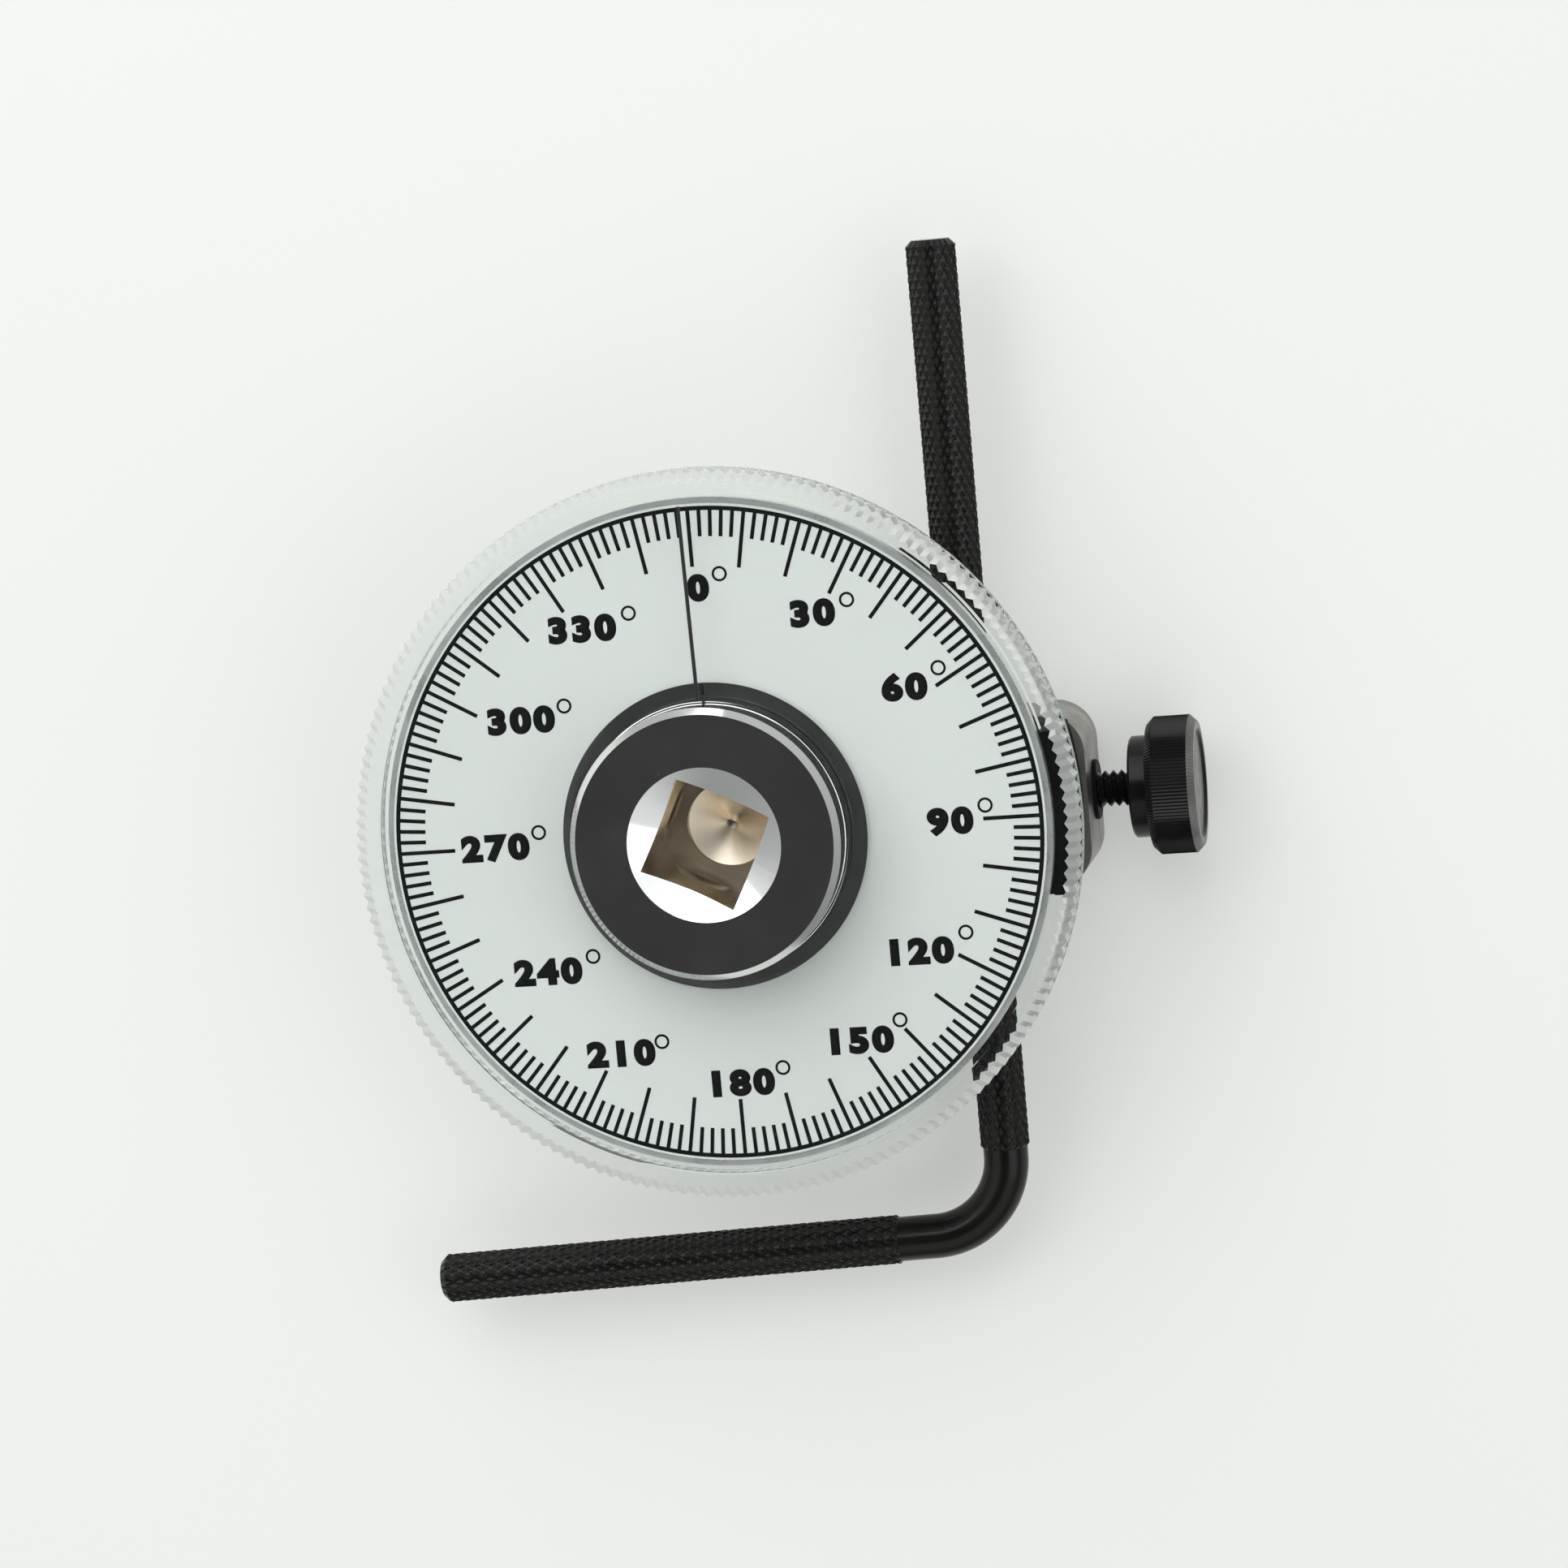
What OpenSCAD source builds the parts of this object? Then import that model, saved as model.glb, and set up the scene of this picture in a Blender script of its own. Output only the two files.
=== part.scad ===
// Torque angle gauge for a half inch square drive, in millimetres.
// Z runs along the drive axis and the origin is the centre of the male square's tip.
// X points to the dial's 90 degree mark and the clamp, Y to the dial's 0 degree mark.

/* [Drive spindle] */
// Male square across its flats
drive_af = 12.7; // [12:0.1:13.4]
// Length of the male square
drive_len = 17; // [15:0.5:20]
// Diameter that rounds the corners of the male square
drive_corner_d = 16.4; // [15.6:0.1:17.2]
// Chamfer round the tip of the male square
drive_tip_chamfer = 1; // [0.5:0.1:1.5]
// Diameter of the journal that turns in the bush
journal_d = 25; // [23.5:0.25:26.5]
// Diameter of the flange that lies on the dial
flange_d = 39.5; // [37:0.25:42]
// Thickness of the flange
flange_t = 0.8; // [0.5:0.1:1.5]
// Diameter of the head above the flange
head_d = 34.8; // [32:0.2:36]
// Height of the head above the flange
head_h = 8.25; // [7:0.25:12]
// Bevel round the top of the head
head_bevel = 0.8; // [0.4:0.1:1.5]
// Angle at which the squares stand to the dial
spindle_turn = -26; // [-45:1:45]

/* [Wrench socket] */
// Female square across its flats
socket_af = 12.8; // [12.5:0.05:13.2]
// Depth of the female square below the head's top
socket_depth = 17; // [14:0.5:18]
// Diameter of the countersunk mouth
socket_mouth_d = 19.8; // [18.4:0.1:22]
// Depth of the countersunk mouth
socket_mouth_depth = 2; // [1.2:0.1:4]
// Diameter of the hole drilled before the square was broached
socket_drill_d = 11; // [9:0.2:12]
// Depth that the drilled hole runs past the square
socket_drill_extra = 1.2; // [0.5:0.1:1.8]
// Height of the drill point's cone
socket_drill_point = 2; // [1:0.1:2.4]
// Diameter of the groove that catches a wrench's ball
socket_groove_d = 14.8; // [13.8:0.1:16]
// Width of that groove
socket_groove_w = 3.2; // [2:0.1:4]
// Depth of the groove's upper edge below the head's top
socket_groove_down = 8; // [6:0.5:10]

/* [Ball detent] */
// Diameter of the detent ball
ball_d = 5; // [4.4:0.1:5.6]
// Height of the ball above the tip
ball_height = 8; // [6.5:0.5:9]
// Diameter of the staked mouth that holds the ball
ball_mouth_d = 4.2; // [3.6:0.1:4.3]
// Depth of the staked mouth
ball_lip = 0.4; // [0.3:0.1:0.8]
// Depth of the spring bore past the drive axis
ball_bore_back = 3.5; // [2:0.25:4]
// Wire of the detent spring
spring_wire = 0.6; // [0.4:0.1:0.8]
// Turns of the detent spring
spring_turns = 5; // [3:1:6]

/* [Bearing] */
// Wall of the bronze bush
bush_wall = 1.5; // [1:0.1:2.5]
// Thickness of the retaining ring
ring_t = 1.1; // [0.8:0.1:1.5]
// Radial width of the retaining ring
ring_w = 2.8; // [2.2:0.1:3.4]
// Depth of the retaining ring's groove
ring_groove = 0.9; // [0.6:0.1:1.2]
// Land of the journal below the groove
ring_land = 0.65; // [0.5:0.05:1.5]
// Open angle of the retaining ring
ring_gap = 55; // [30:5:80]
// Thickness of the spacer washer
spacer_t = 0.6; // [0.4:0.1:1]
// Radial width of the spacer washer
spacer_w = 3.8; // [2.5:0.1:4.2]
// Thickness of the thrust washer on the dial
thrust_t = 0.4; // [0.3:0.1:0.8]
// Diameter of the thrust washer
thrust_d = 38.4; // [36:0.2:39]

/* [Dial] */
// Diameter of the dial plate
plate_d = 86.4; // [80:0.2:90]
// Thickness of the dial plate
plate_t = 1.7; // [1.2:0.1:3]
// Diameter of the printed dial sheet
face_d = 84.8; // [78:0.2:86]
// Thickness of the printed dial sheet
face_t = 0.3; // [0.2:0.05:0.6]
// Number of dial screws
dial_screws_n = 3; // [3:1:6]
// Diameter of the circle of dial screws
dial_screws_pcd = 33.8; // [32.8:0.1:34.4]
// Thread diameter of a dial screw
dial_screw_d = 2; // [1.6:0.1:2.5]
// Head diameter of a dial screw
dial_screw_head_d = 3.6; // [3:0.1:3.8]
// Head height of a dial screw
dial_screw_head_h = 1; // [0.7:0.1:1.2]
// Length of a dial screw
dial_screw_len = 7; // [5:0.5:8]

/* [Carrier] */
// Thickness of the carrier
carrier_t = 8.5; // [7:0.25:12]
// Diameter of the carrier's hub
carrier_hub_d = 40; // [39:0.5:46]
// Width of the carrier's arm
arm_w = 21; // [19:0.25:24]
// Radius of the arm's round end from the drive axis
arm_reach = 45.8; // [44:0.1:52]
// Fillet between hub and arm
arm_fillet = 6; // [2:0.5:10]

/* [Pointer disc] */
// Diameter over the knurled rim
disc_d = 93.8; // [92:0.2:100]
// Thickness of the clear disc
disc_t = 3; // [2.6:0.1:5]
// Chamfer on the rim's upper edge
rim_chamfer = 1.3; // [0.5:0.1:1.6]
// Chamfer on the rim's lower edge
foot_chamfer = 0.4; // [0.2:0.1:0.8]
// Gap between dial plate and rim
skirt_gap = 0.8; // [0.5:0.1:1.2]
// Gap between rim and the carrier's arm
skirt_clear = 0.4; // [0.3:0.1:1.5]
// Gap between disc and spindle head
disc_bore_clear = 0.1; // [0.06:0.01:0.2]
// Reading of the pointer in degrees
pointer_angle = -0.7; // [-180:0.1:180]
// Width of the pointer line
line_w = 0.45; // [0.3:0.05:1]
// Depth of the pointer line
line_depth = 0.3; // [0.2:0.05:0.6]
// Thickness of the rubber friction ring
friction_wire = 1.6; // [1.2:0.1:1.8]

/* [Reaction rod] */
// Diameter of the rod over its knurl
rod_d = 6.5; // [6:0.1:7.2]
// Distance of the rod from the arm's end
rod_inset = 15.1; // [13:0.1:17]
// Depth of the rod below the carrier's underside
rod_below = 8.5; // [8:0.1:9]
// Reach of the long arm past the drive axis
rod_reach = 72.5; // [60:0.5:120]
// Distance from the drive axis to the bend
rod_back = 47.8; // [45:0.2:60]
// Radius of the bend at the rod's centre
rod_bend_r = 10.5; // [8:0.5:16]
// Angle through which the rod is bent
rod_bend = 87.6; // [80:0.2:95]
// Length of the short arm after the bend
rod_short = 67.7; // [40:0.5:100]
// Chamfer at the rod's ends
rod_chamfer = 0.8; // [0.4:0.1:1.5]
// Diameter of the plain rod at the bend
rod_plain_d = 5.9; // [5.4:0.1:6]
// Plain length of the long arm before the bend
rod_plain_long = 1.2; // [0.5:0.1:10]
// Plain length of the short arm after the bend
rod_plain_short = 4.9; // [2:0.1:10]

/* [Clamp] */
// Wall of the split sleeve round the rod
sleeve_wall = 0.9; // [0.7:0.1:1.2]
// Slot of the split sleeve
sleeve_slot = 1.4; // [0.8:0.1:2]
// Width of the clamp block
block_w = 17.2; // [16.4:0.2:18]
// Length of the block behind the rod's axis
block_behind = 6.6; // [6.2:0.1:7]
// Wall of the block under the sleeve
block_under = 1.5; // [1:0.1:2]
// Thickness of the strap
strap_t = 2.7; // [2:0.1:3.2]
// Outer corner radius of the strap
strap_corner_r = 5.2; // [4.2:0.1:6.5]
// How far the strap stands past the arm's end
strap_past = 0.6; // [0:0.1:1]
// Length of the strap's legs behind the rod's axis
strap_behind = 7.2; // [6.8:0.1:8]
// Rivets to either side of the rod's axis
rivet_offset = 4.4; // [4.2:0.1:4.6]
// Height of the rivets above the rod's axis
rivet_up = 5.2; // [5:0.1:5.6]
// Shank diameter of a rivet
rivet_d = 2.5; // [2:0.1:2.6]
// Head diameter of a rivet
rivet_head_d = 4.4; // [3.6:0.1:4.6]
// Head height of a rivet
rivet_head_h = 1; // [0.6:0.1:1.4]
// Depth of a rivet in the block
rivet_depth = 3.2; // [2:0.1:3.4]
// Thread diameter of a block screw
block_screw_d = 3; // [2.5:0.1:3.2]
// Head diameter of a block screw
block_screw_head_d = 5.5; // [4.5:0.1:5.6]
// Head height of a block screw
block_screw_head_h = 3; // [2.4:0.1:3.1]
// Key size of a block screw's hexagon recess
block_screw_key = 2.5; // [2:0.1:2.8]
// Depth of a block screw in the arm
block_screw_grip = 6; // [4:0.5:6.5]
// Distance of the block screws from the strap's end wall
block_screw_inset = 4.5; // [4.2:0.1:4.7]
// Distance of the block screws from the block's sides
block_screw_edge = 3.4; // [3.2:0.1:3.6]
// Diameter of the threaded boss's flange
boss_d = 7.8; // [7.2:0.1:10]
// Height of the threaded boss's flange
boss_h = 0.5; // [0.4:0.1:2.5]
// Diameter of the threaded boss in the strap's wall
boss_barrel_d = 6.4; // [6:0.1:7]

/* [Thumbscrew] */
// Thread diameter
screw_d = 4.8; // [4.5:0.1:5.4]
// Distance between the strap and the collar
screw_gap = 4.9; // [3:0.1:8]
// Diameter of the collar under the head
collar_d = 13.2; // [10:0.1:15]
// Thickness of the collar
collar_t = 2.4; // [1.5:0.1:4]
// Diameter of the head
knob_d = 17.9; // [16:0.1:20]
// Length of the head
knob_len = 6.4; // [5:0.1:10]
// Chamfer of the head's edges
knob_chamfer = 0.9; // [0.4:0.1:1.5]
// Length of the pressure pad
pad_len = 3; // [2:0.1:4]

/* [Clearances] */
// Radial gap of a running fit
run_clear = 0.05; // [0.02:0.01:0.08]
// Radial gap of pieces that are pressed or screwed together
seat_clear = 0.02; // [0.01:0.01:0.05]
// Axial play between stacked pieces that turn
play = 0.05; // [0.03:0.01:0.1]

/* [Hidden] */
$fn = 96;
over = 1;

// Heights, from the tip upwards
z_shoulder = drive_len;
z_ring = z_shoulder + ring_land + play;
z_spacer = z_ring + ring_t + play;
z_bush = z_spacer + spacer_t + play;
shoulder_below = 0.5;
z_under = z_shoulder + shoulder_below;
z_top = z_under + carrier_t;
z_plate = z_top + plate_t;
z_dial = z_plate + face_t;
z_flange = z_dial + thrust_t + play;
z_seat = z_flange + flange_t;
z_disc = z_seat + play;
z_disc_top = z_disc + disc_t;
z_head = z_seat + head_h;
z_rod = z_under - rod_below;
z_skirt = z_top + skirt_clear;

// Radii shared by pieces that fit together
journal_r = journal_d / 2;
bush_bore_r = journal_r + run_clear;
bush_r = bush_bore_r + bush_wall;
ring_in_r = journal_r - ring_groove + run_clear;
ring_out_r = ring_in_r + ring_w;
pocket_r = ring_out_r + 2.4;
head_r = head_d / 2;
disc_bore_r = head_r + disc_bore_clear;
skirt_in_r = plate_d / 2 + skirt_gap;
rod_r = rod_d / 2;
sleeve_in_r = rod_r + run_clear;
sleeve_r = sleeve_in_r + sleeve_wall;
sleeve_bore_r = sleeve_r + run_clear;
rod_hole_r = (sleeve_in_r + sleeve_r) / 2;
screw_r = screw_d / 2;
screw_hole_r = screw_r + run_clear;
pad_r = screw_r + 0.15;
pad_bore_r = pad_r + 2 * run_clear;

// Places along X in the clamp, all taken from the arm's end
rod_x = arm_reach - rod_inset;
x_strap = arm_reach + strap_past;
x_wall = x_strap - strap_t;
x_block = rod_x - block_behind;
x_legs = rod_x - strap_behind;
x_pad = rod_x + sleeve_r + 2 * run_clear;
x_stud = x_pad + pad_len + play;
x_collar = x_strap + screw_gap;
x_knob = x_collar + collar_t;
x_end = x_knob + knob_len;
z_floor = z_rod - sleeve_bore_r - block_under;
strap_half = block_w / 2 + seat_clear + strap_t;

// The friction ring lies half in the head and half in the disc
friction_r = friction_wire / 2;
friction_bite = 0.35;
friction_mid_r = head_r + friction_bite - friction_r;
z_friction = z_disc + disc_t / 2;
friction_room = 0.1;

// The ball rests against its staked mouth
ball_r = ball_d / 2;
lip_at = drive_af / 2 - ball_lip;
ball_at = lip_at - sqrt(ball_r * ball_r - ball_mouth_d * ball_mouth_d / 4) - run_clear;
ball_bore_r = ball_r + 2 * run_clear;
spring_mid_r = ball_r - spring_wire;
spring_len = ball_at - ball_r + ball_bore_back - 2 * run_clear;

// Flat ring between two radii
module washer(inner_r, outer_r, z, t) {
    translate([0, 0, z]) difference() {
        cylinder(h = t, r = outer_r);
        translate([0, 0, -over]) cylinder(h = t + 2 * over, r = inner_r);
    }
}

// Turns a shape made along Z so that it lies along X from the drive axis at the rod's height
module along_x(x) { translate([x, 0, z_rod]) rotate([0, 90, 0]) children(); }

// Turns a shape made along Z so that it points outwards along Y on one side of the clamp
module along_y(x, z, side) { translate([x, 0, z]) rotate([-90 * side, 0, 0]) children(); }

// Repeats its children on the circle of dial screws
module at_dial_screws() {
    for (i = [0 : dial_screws_n - 1])
        rotate([0, 0, (i + 0.5) * 360 / dial_screws_n]) translate([dial_screws_pcd / 2, 0, 0]) children();
}

// Countersunk screw, or its hole when it is given a clearance
module dial_screw(clear) {
    top = z_dial - play + clear;
    rotate_extrude() polygon([
        [0, top - dial_screw_len - clear], [dial_screw_d / 2 + clear, top - dial_screw_len - clear],
        [dial_screw_d / 2 + clear, top - dial_screw_head_h], [dial_screw_head_d / 2 + clear, top],
        [dial_screw_head_d / 2 + clear, top + (clear > 0 ? over : 0)], [0, top + (clear > 0 ? over : 0)]
    ]);
}

// Repeats its children at the two block screws
module at_block_screws() {
    for (side = [-1, 1])
        translate([x_wall - block_screw_inset, side * (block_w / 2 - block_screw_edge), 0]) children();
}

// Cap screw from below, or its hole when it is given a clearance
module block_screw(clear) {
    head_at = z_floor + block_under / 4;
    below = clear > 0 ? over : 0;
    translate([0, 0, head_at - below - clear])
        cylinder(h = block_screw_head_h + below + 2 * clear, r = block_screw_head_d / 2 + clear);
    translate([0, 0, head_at])
        cylinder(h = z_under + block_screw_grip - head_at + clear, r = block_screw_d / 2 + clear);
}

// Repeats its children at the four rivets, pointing outwards
module at_rivets() {
    for (side = [-1, 1], x = [-rivet_offset, rivet_offset])
        along_y(rod_x + x, z_rod + rivet_up, side) children();
}

// Plan of a bar that ends in two round corners at x_front
module round_end_plan(x_back, x_front, half_w, r) {
    translate([x_back, -half_w]) square([x_front - r - x_back, 2 * half_w]);
    translate([x_back, -half_w + r]) square([x_front - x_back, 2 * (half_w - r)]);
    for (side = [-1, 1]) translate([x_front - r, side * (half_w - r)]) circle(r);
}

// Male square with chamfered tip and rounded corners
module drive_square() {
    a = drive_af / 2;
    c = drive_tip_chamfer;
    h = z_shoulder + over;
    side_view = [[-a, c], [c - a, 0], [a - c, 0], [a, c], [a, h], [-a, h]];
    intersection() {
        rotate([90, 0, 0]) linear_extrude(height = 2 * drive_af, center = true) polygon(side_view);
        rotate([90, 0, 90]) linear_extrude(height = 2 * drive_af, center = true) polygon(side_view);
        rotate_extrude() polygon([
            [0, 0], [drive_corner_d / 2 - c, 0], [drive_corner_d / 2, c], [drive_corner_d / 2, h], [0, h]
        ]);
    }
}

// Journal, flange and head with the grooves for both rings
module spindle_turning() {
    groove_r = journal_r - ring_groove;
    rotate_extrude() polygon([
        [0, z_shoulder], [journal_r - play, z_shoulder], [journal_r, z_shoulder + play],
        [journal_r, z_ring - play], [groove_r, z_ring - play],
        [groove_r, z_ring + ring_t + play], [journal_r, z_ring + ring_t + play], [journal_r, z_flange],
        [flange_d / 2, z_flange], [flange_d / 2, z_seat], [head_r, z_seat],
        [head_r, z_friction - friction_r - friction_room],
        [friction_mid_r - friction_r, z_friction - friction_r - friction_room],
        [friction_mid_r - friction_r, z_friction + friction_r + friction_room],
        [head_r, z_friction + friction_r + friction_room],
        [head_r, z_head - head_bevel], [head_r - head_bevel, z_head], [0, z_head]
    ]);
}

// Broached square with its countersunk mouth, ball groove and drilled bottom
module wrench_socket() {
    square_at = z_head - socket_depth;
    drill_at = square_at - socket_drill_extra;
    flare = (socket_mouth_d - socket_af) / 2 / socket_mouth_depth;
    translate([-socket_af / 2, -socket_af / 2, square_at]) cube([socket_af, socket_af, socket_depth + over]);
    translate([0, 0, z_head - socket_mouth_depth])
        cylinder(h = socket_mouth_depth + over, r1 = socket_af / 2, r2 = socket_mouth_d / 2 + flare * over);
    translate([0, 0, z_head - socket_groove_down - socket_groove_w])
        cylinder(h = socket_groove_w, d = socket_groove_d);
    translate([0, 0, drill_at]) cylinder(h = socket_depth, d = socket_drill_d);
    translate([0, 0, drill_at - socket_drill_point])
        cylinder(h = socket_drill_point, r1 = 0, d2 = socket_drill_d);
}

// Bore for ball and spring, narrowed at its staked mouth
module ball_bore() {
    translate([-ball_bore_back, 0, ball_height]) rotate([0, 90, 0]) {
        cylinder(h = lip_at + ball_bore_back, r = ball_bore_r);
        cylinder(h = drive_af, d = ball_mouth_d + 2 * run_clear);
    }
}

module spindle() {
    color([0.62, 0.63, 0.65]) difference() {
        union() {
            spindle_turning();
            rotate([0, 0, spindle_turn]) drive_square();
        }
        rotate([0, 0, spindle_turn]) {
            wrench_socket();
            ball_bore();
        }
    }
}

module detent_ball() {
    color([0.75, 0.76, 0.78])
        rotate([0, 0, spindle_turn]) translate([ball_at, 0, ball_height]) sphere(r = ball_r);
}

// Points round one cross section of the spring's wire
spring_sides = 8;
spring_steps = 14;
function spring_ring(i, total) =
    let (turn = 360 * spring_turns * i / total)
    let (rise = spring_wire / 2 + (spring_len - spring_wire) * i / total)
    [for (k = [0 : spring_sides - 1])
        let (a = 360 * k / spring_sides)
        let (r = spring_mid_r + spring_wire / 2 * cos(a))
        [r * cos(turn), r * sin(turn), rise + spring_wire / 2 * sin(a)]];

module detent_spring() {
    total = spring_turns * spring_steps;
    rings = [for (i = [0 : total]) each spring_ring(i, total)];
    sides = [for (i = [0 : total - 1], k = [0 : spring_sides - 1])
        let (n = (k + 1) % spring_sides)
        [i * spring_sides + k, (i + 1) * spring_sides + k, (i + 1) * spring_sides + n, i * spring_sides + n]];
    caps = [
        [for (k = [0 : spring_sides - 1]) k],
        [for (k = [spring_sides - 1 : -1 : 0]) total * spring_sides + k]
    ];
    color([0.6, 0.61, 0.63])
        rotate([0, 0, spindle_turn]) translate([run_clear - ball_bore_back, 0, ball_height])
            rotate([0, 90, 0]) polyhedron(points = rings, faces = concat(sides, caps), convexity = 8);
}

// Open ring with two eyes for the pliers
module retaining_ring() {
    eye_r = 1.6;
    eye_hole_r = 0.7;
    eye_at = ring_out_r - eye_r / 2;
    eye_angle = ring_gap / 2 + asin(eye_r / eye_at);
    far = 2 * ring_out_r;
    color([0.3, 0.3, 0.32]) translate([0, 0, z_ring]) difference() {
        union() {
            difference() {
                cylinder(h = ring_t, r = ring_out_r);
                translate([0, 0, -over]) linear_extrude(height = ring_t + 2 * over)
                    polygon([[0, 0], [far, -far * tan(ring_gap / 2)], [far, far * tan(ring_gap / 2)]]);
            }
            for (side = [-1, 1])
                rotate([0, 0, side * eye_angle]) translate([eye_at, 0, 0]) cylinder(h = ring_t, r = eye_r);
        }
        translate([0, 0, -over]) cylinder(h = ring_t + 2 * over, r = ring_in_r);
        for (side = [-1, 1])
            rotate([0, 0, side * eye_angle]) translate([eye_at, 0, -over])
                cylinder(h = ring_t + 2 * over, r = eye_hole_r);
    }
}

module spacer_washer() {
    color([0.7, 0.7, 0.72]) washer(bush_bore_r, bush_bore_r + spacer_w, z_spacer, spacer_t);
}

module thrust_washer() {
    color([0.9, 0.9, 0.86]) washer(bush_bore_r, thrust_d / 2, z_dial, thrust_t);
}

module bushing() {
    color([0.72, 0.52, 0.28]) washer(bush_bore_r, bush_r, z_bush, z_dial - play - z_bush);
}

// Plan of the carrier: round hub, arm with a round end, and a fillet on either side
module carrier_plan() {
    hub_r = carrier_hub_d / 2;
    half = arm_w / 2;
    mid_x = sqrt(pow(hub_r + arm_fillet, 2) - pow(half + arm_fillet, 2));
    touch = hub_r / (hub_r + arm_fillet);
    circle(hub_r);
    intersection() {
        translate([0, -half]) square([arm_reach, arm_w]);
        circle(arm_reach);
    }
    for (side = [-1, 1]) difference() {
        polygon([
            [0, 0], [mid_x, side * half], [mid_x, side * (half + arm_fillet)],
            [mid_x * touch, side * (half + arm_fillet) * touch]
        ]);
        translate([mid_x, side * (half + arm_fillet)]) circle(arm_fillet);
    }
}

module carrier() {
    color([0.09, 0.09, 0.1]) difference() {
        translate([0, 0, z_under]) linear_extrude(height = carrier_t) carrier_plan();
        translate([0, 0, z_under - over]) cylinder(h = carrier_t + 2 * over, r = bush_r + seat_clear);
        translate([0, 0, z_under - over]) cylinder(h = z_bush - z_under + over, r = pocket_r);
        at_dial_screws() dial_screw(seat_clear);
        at_block_screws() block_screw(seat_clear);
    }
}

module dial_plate() {
    color([0.72, 0.73, 0.74]) difference() {
        washer(bush_r + seat_clear, plate_d / 2, z_top, plate_t);
        at_dial_screws() dial_screw(seat_clear);
    }
}

module dial_face() {
    color([0.85, 0.87, 0.88]) difference() {
        washer(bush_r + seat_clear, face_d / 2, z_plate, face_t);
        at_dial_screws() dial_screw(seat_clear);
    }
}

module dial_screws() { color([0.62, 0.63, 0.65]) at_dial_screws() dial_screw(0); }

// Bar of the pointer line, or its groove when it is given a clearance
module pointer_bar(clear) {
    inner = disc_bore_r + line_w;
    outer = face_d / 2;
    above = clear > 0 ? over : 0;
    rotate([0, 0, 90 - pointer_angle])
        translate([inner - clear, -line_w / 2 - clear, z_disc_top - line_depth - clear])
            cube([outer - inner + 2 * clear, line_w + 2 * clear, line_depth + clear + above]);
}

// Clear disc with its rim turned down past the dial's edge
module pointer_disc() {
    rim_r = disc_d / 2;
    groove_r = friction_mid_r + friction_r + friction_room;
    color([0.86, 0.9, 0.9, 0.4]) difference() {
        rotate_extrude() polygon([
            [disc_bore_r, z_disc], [skirt_in_r, z_disc], [skirt_in_r, z_skirt],
            [rim_r - foot_chamfer, z_skirt], [rim_r, z_skirt + foot_chamfer], [rim_r, z_disc_top - rim_chamfer],
            [rim_r - rim_chamfer, z_disc_top], [disc_bore_r, z_disc_top],
            [disc_bore_r, z_friction + friction_r + friction_room],
            [groove_r, z_friction + friction_r + friction_room],
            [groove_r, z_friction - friction_r - friction_room],
            [disc_bore_r, z_friction - friction_r - friction_room]
        ]);
        pointer_bar(seat_clear);
    }
}

module pointer_line() { color([0.08, 0.08, 0.09]) pointer_bar(0); }

module friction_ring() {
    color([0.12, 0.12, 0.12]) rotate_extrude()
        translate([friction_mid_r + seat_clear, z_friction]) circle(friction_r);
}

module clamp_block() {
    inner_r = strap_corner_r - strap_t;
    color([0.1, 0.1, 0.11]) difference() {
        translate([0, 0, z_floor]) linear_extrude(height = z_under - z_floor)
            round_end_plan(x_block, x_wall, block_w / 2, inner_r);
        along_y(rod_x, z_rod, 1) cylinder(h = 2 * block_w, r = sleeve_bore_r, center = true);
        along_x(rod_x) cylinder(h = x_wall - rod_x + over, r = pad_bore_r);
        at_block_screws() block_screw(seat_clear);
        at_rivets() translate([0, 0, block_w / 2 - rivet_depth - seat_clear])
            cylinder(h = rivet_depth + over, r = rivet_d / 2 + seat_clear);
    }
}

module block_screws() {
    key_depth = block_screw_head_h / 2;
    color([0.2, 0.2, 0.21]) at_block_screws() difference() {
        block_screw(0);
        translate([0, 0, z_floor + block_under / 4 - over])
            cylinder(h = key_depth + over, d = block_screw_key / cos(30), $fn = 6);
    }
}

// Strap bent round the block, open towards the drive axis
module clamp_strap() {
    inner_r = strap_corner_r - strap_t;
    color([0.55, 0.53, 0.5]) difference() {
        translate([0, 0, z_floor]) linear_extrude(height = z_under - z_floor) difference() {
            round_end_plan(x_legs, x_strap, strap_half, strap_corner_r);
            round_end_plan(x_legs - over, x_wall + seat_clear, block_w / 2 + seat_clear, inner_r);
        }
        along_y(rod_x, z_rod, 1) cylinder(h = 4 * block_w, r = rod_hole_r, center = true);
        along_x(x_wall - over) cylinder(h = strap_t + 2 * over, r = boss_barrel_d / 2 + seat_clear);
        at_rivets() cylinder(h = block_w, r = rivet_d / 2 + seat_clear);
    }
}

module strap_rivets() {
    inner = block_w / 2 - rivet_depth;
    head_r = rivet_head_d / 2;
    edge = rivet_head_h / 2;
    color([0.6, 0.6, 0.61]) at_rivets() rotate_extrude() polygon([
        [0, inner], [rivet_d / 2, inner], [rivet_d / 2, strap_half], [head_r, strap_half],
        [head_r, strap_half + edge], [head_r - edge, strap_half + rivet_head_h],
        [0, strap_half + rivet_head_h]
    ]);
}

// Threaded boss with its flange outside the strap
module thread_bush() {
    edge = boss_h / 3;
    wall = strap_t - seat_clear;
    color([0.08, 0.08, 0.09]) along_x(x_strap) rotate_extrude() polygon([
        [screw_hole_r, -wall], [boss_barrel_d / 2, -wall], [boss_barrel_d / 2, 0], [boss_d / 2, 0],
        [boss_d / 2, boss_h - edge], [boss_d / 2 - edge, boss_h], [screw_hole_r, boss_h]
    ]);
}

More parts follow.
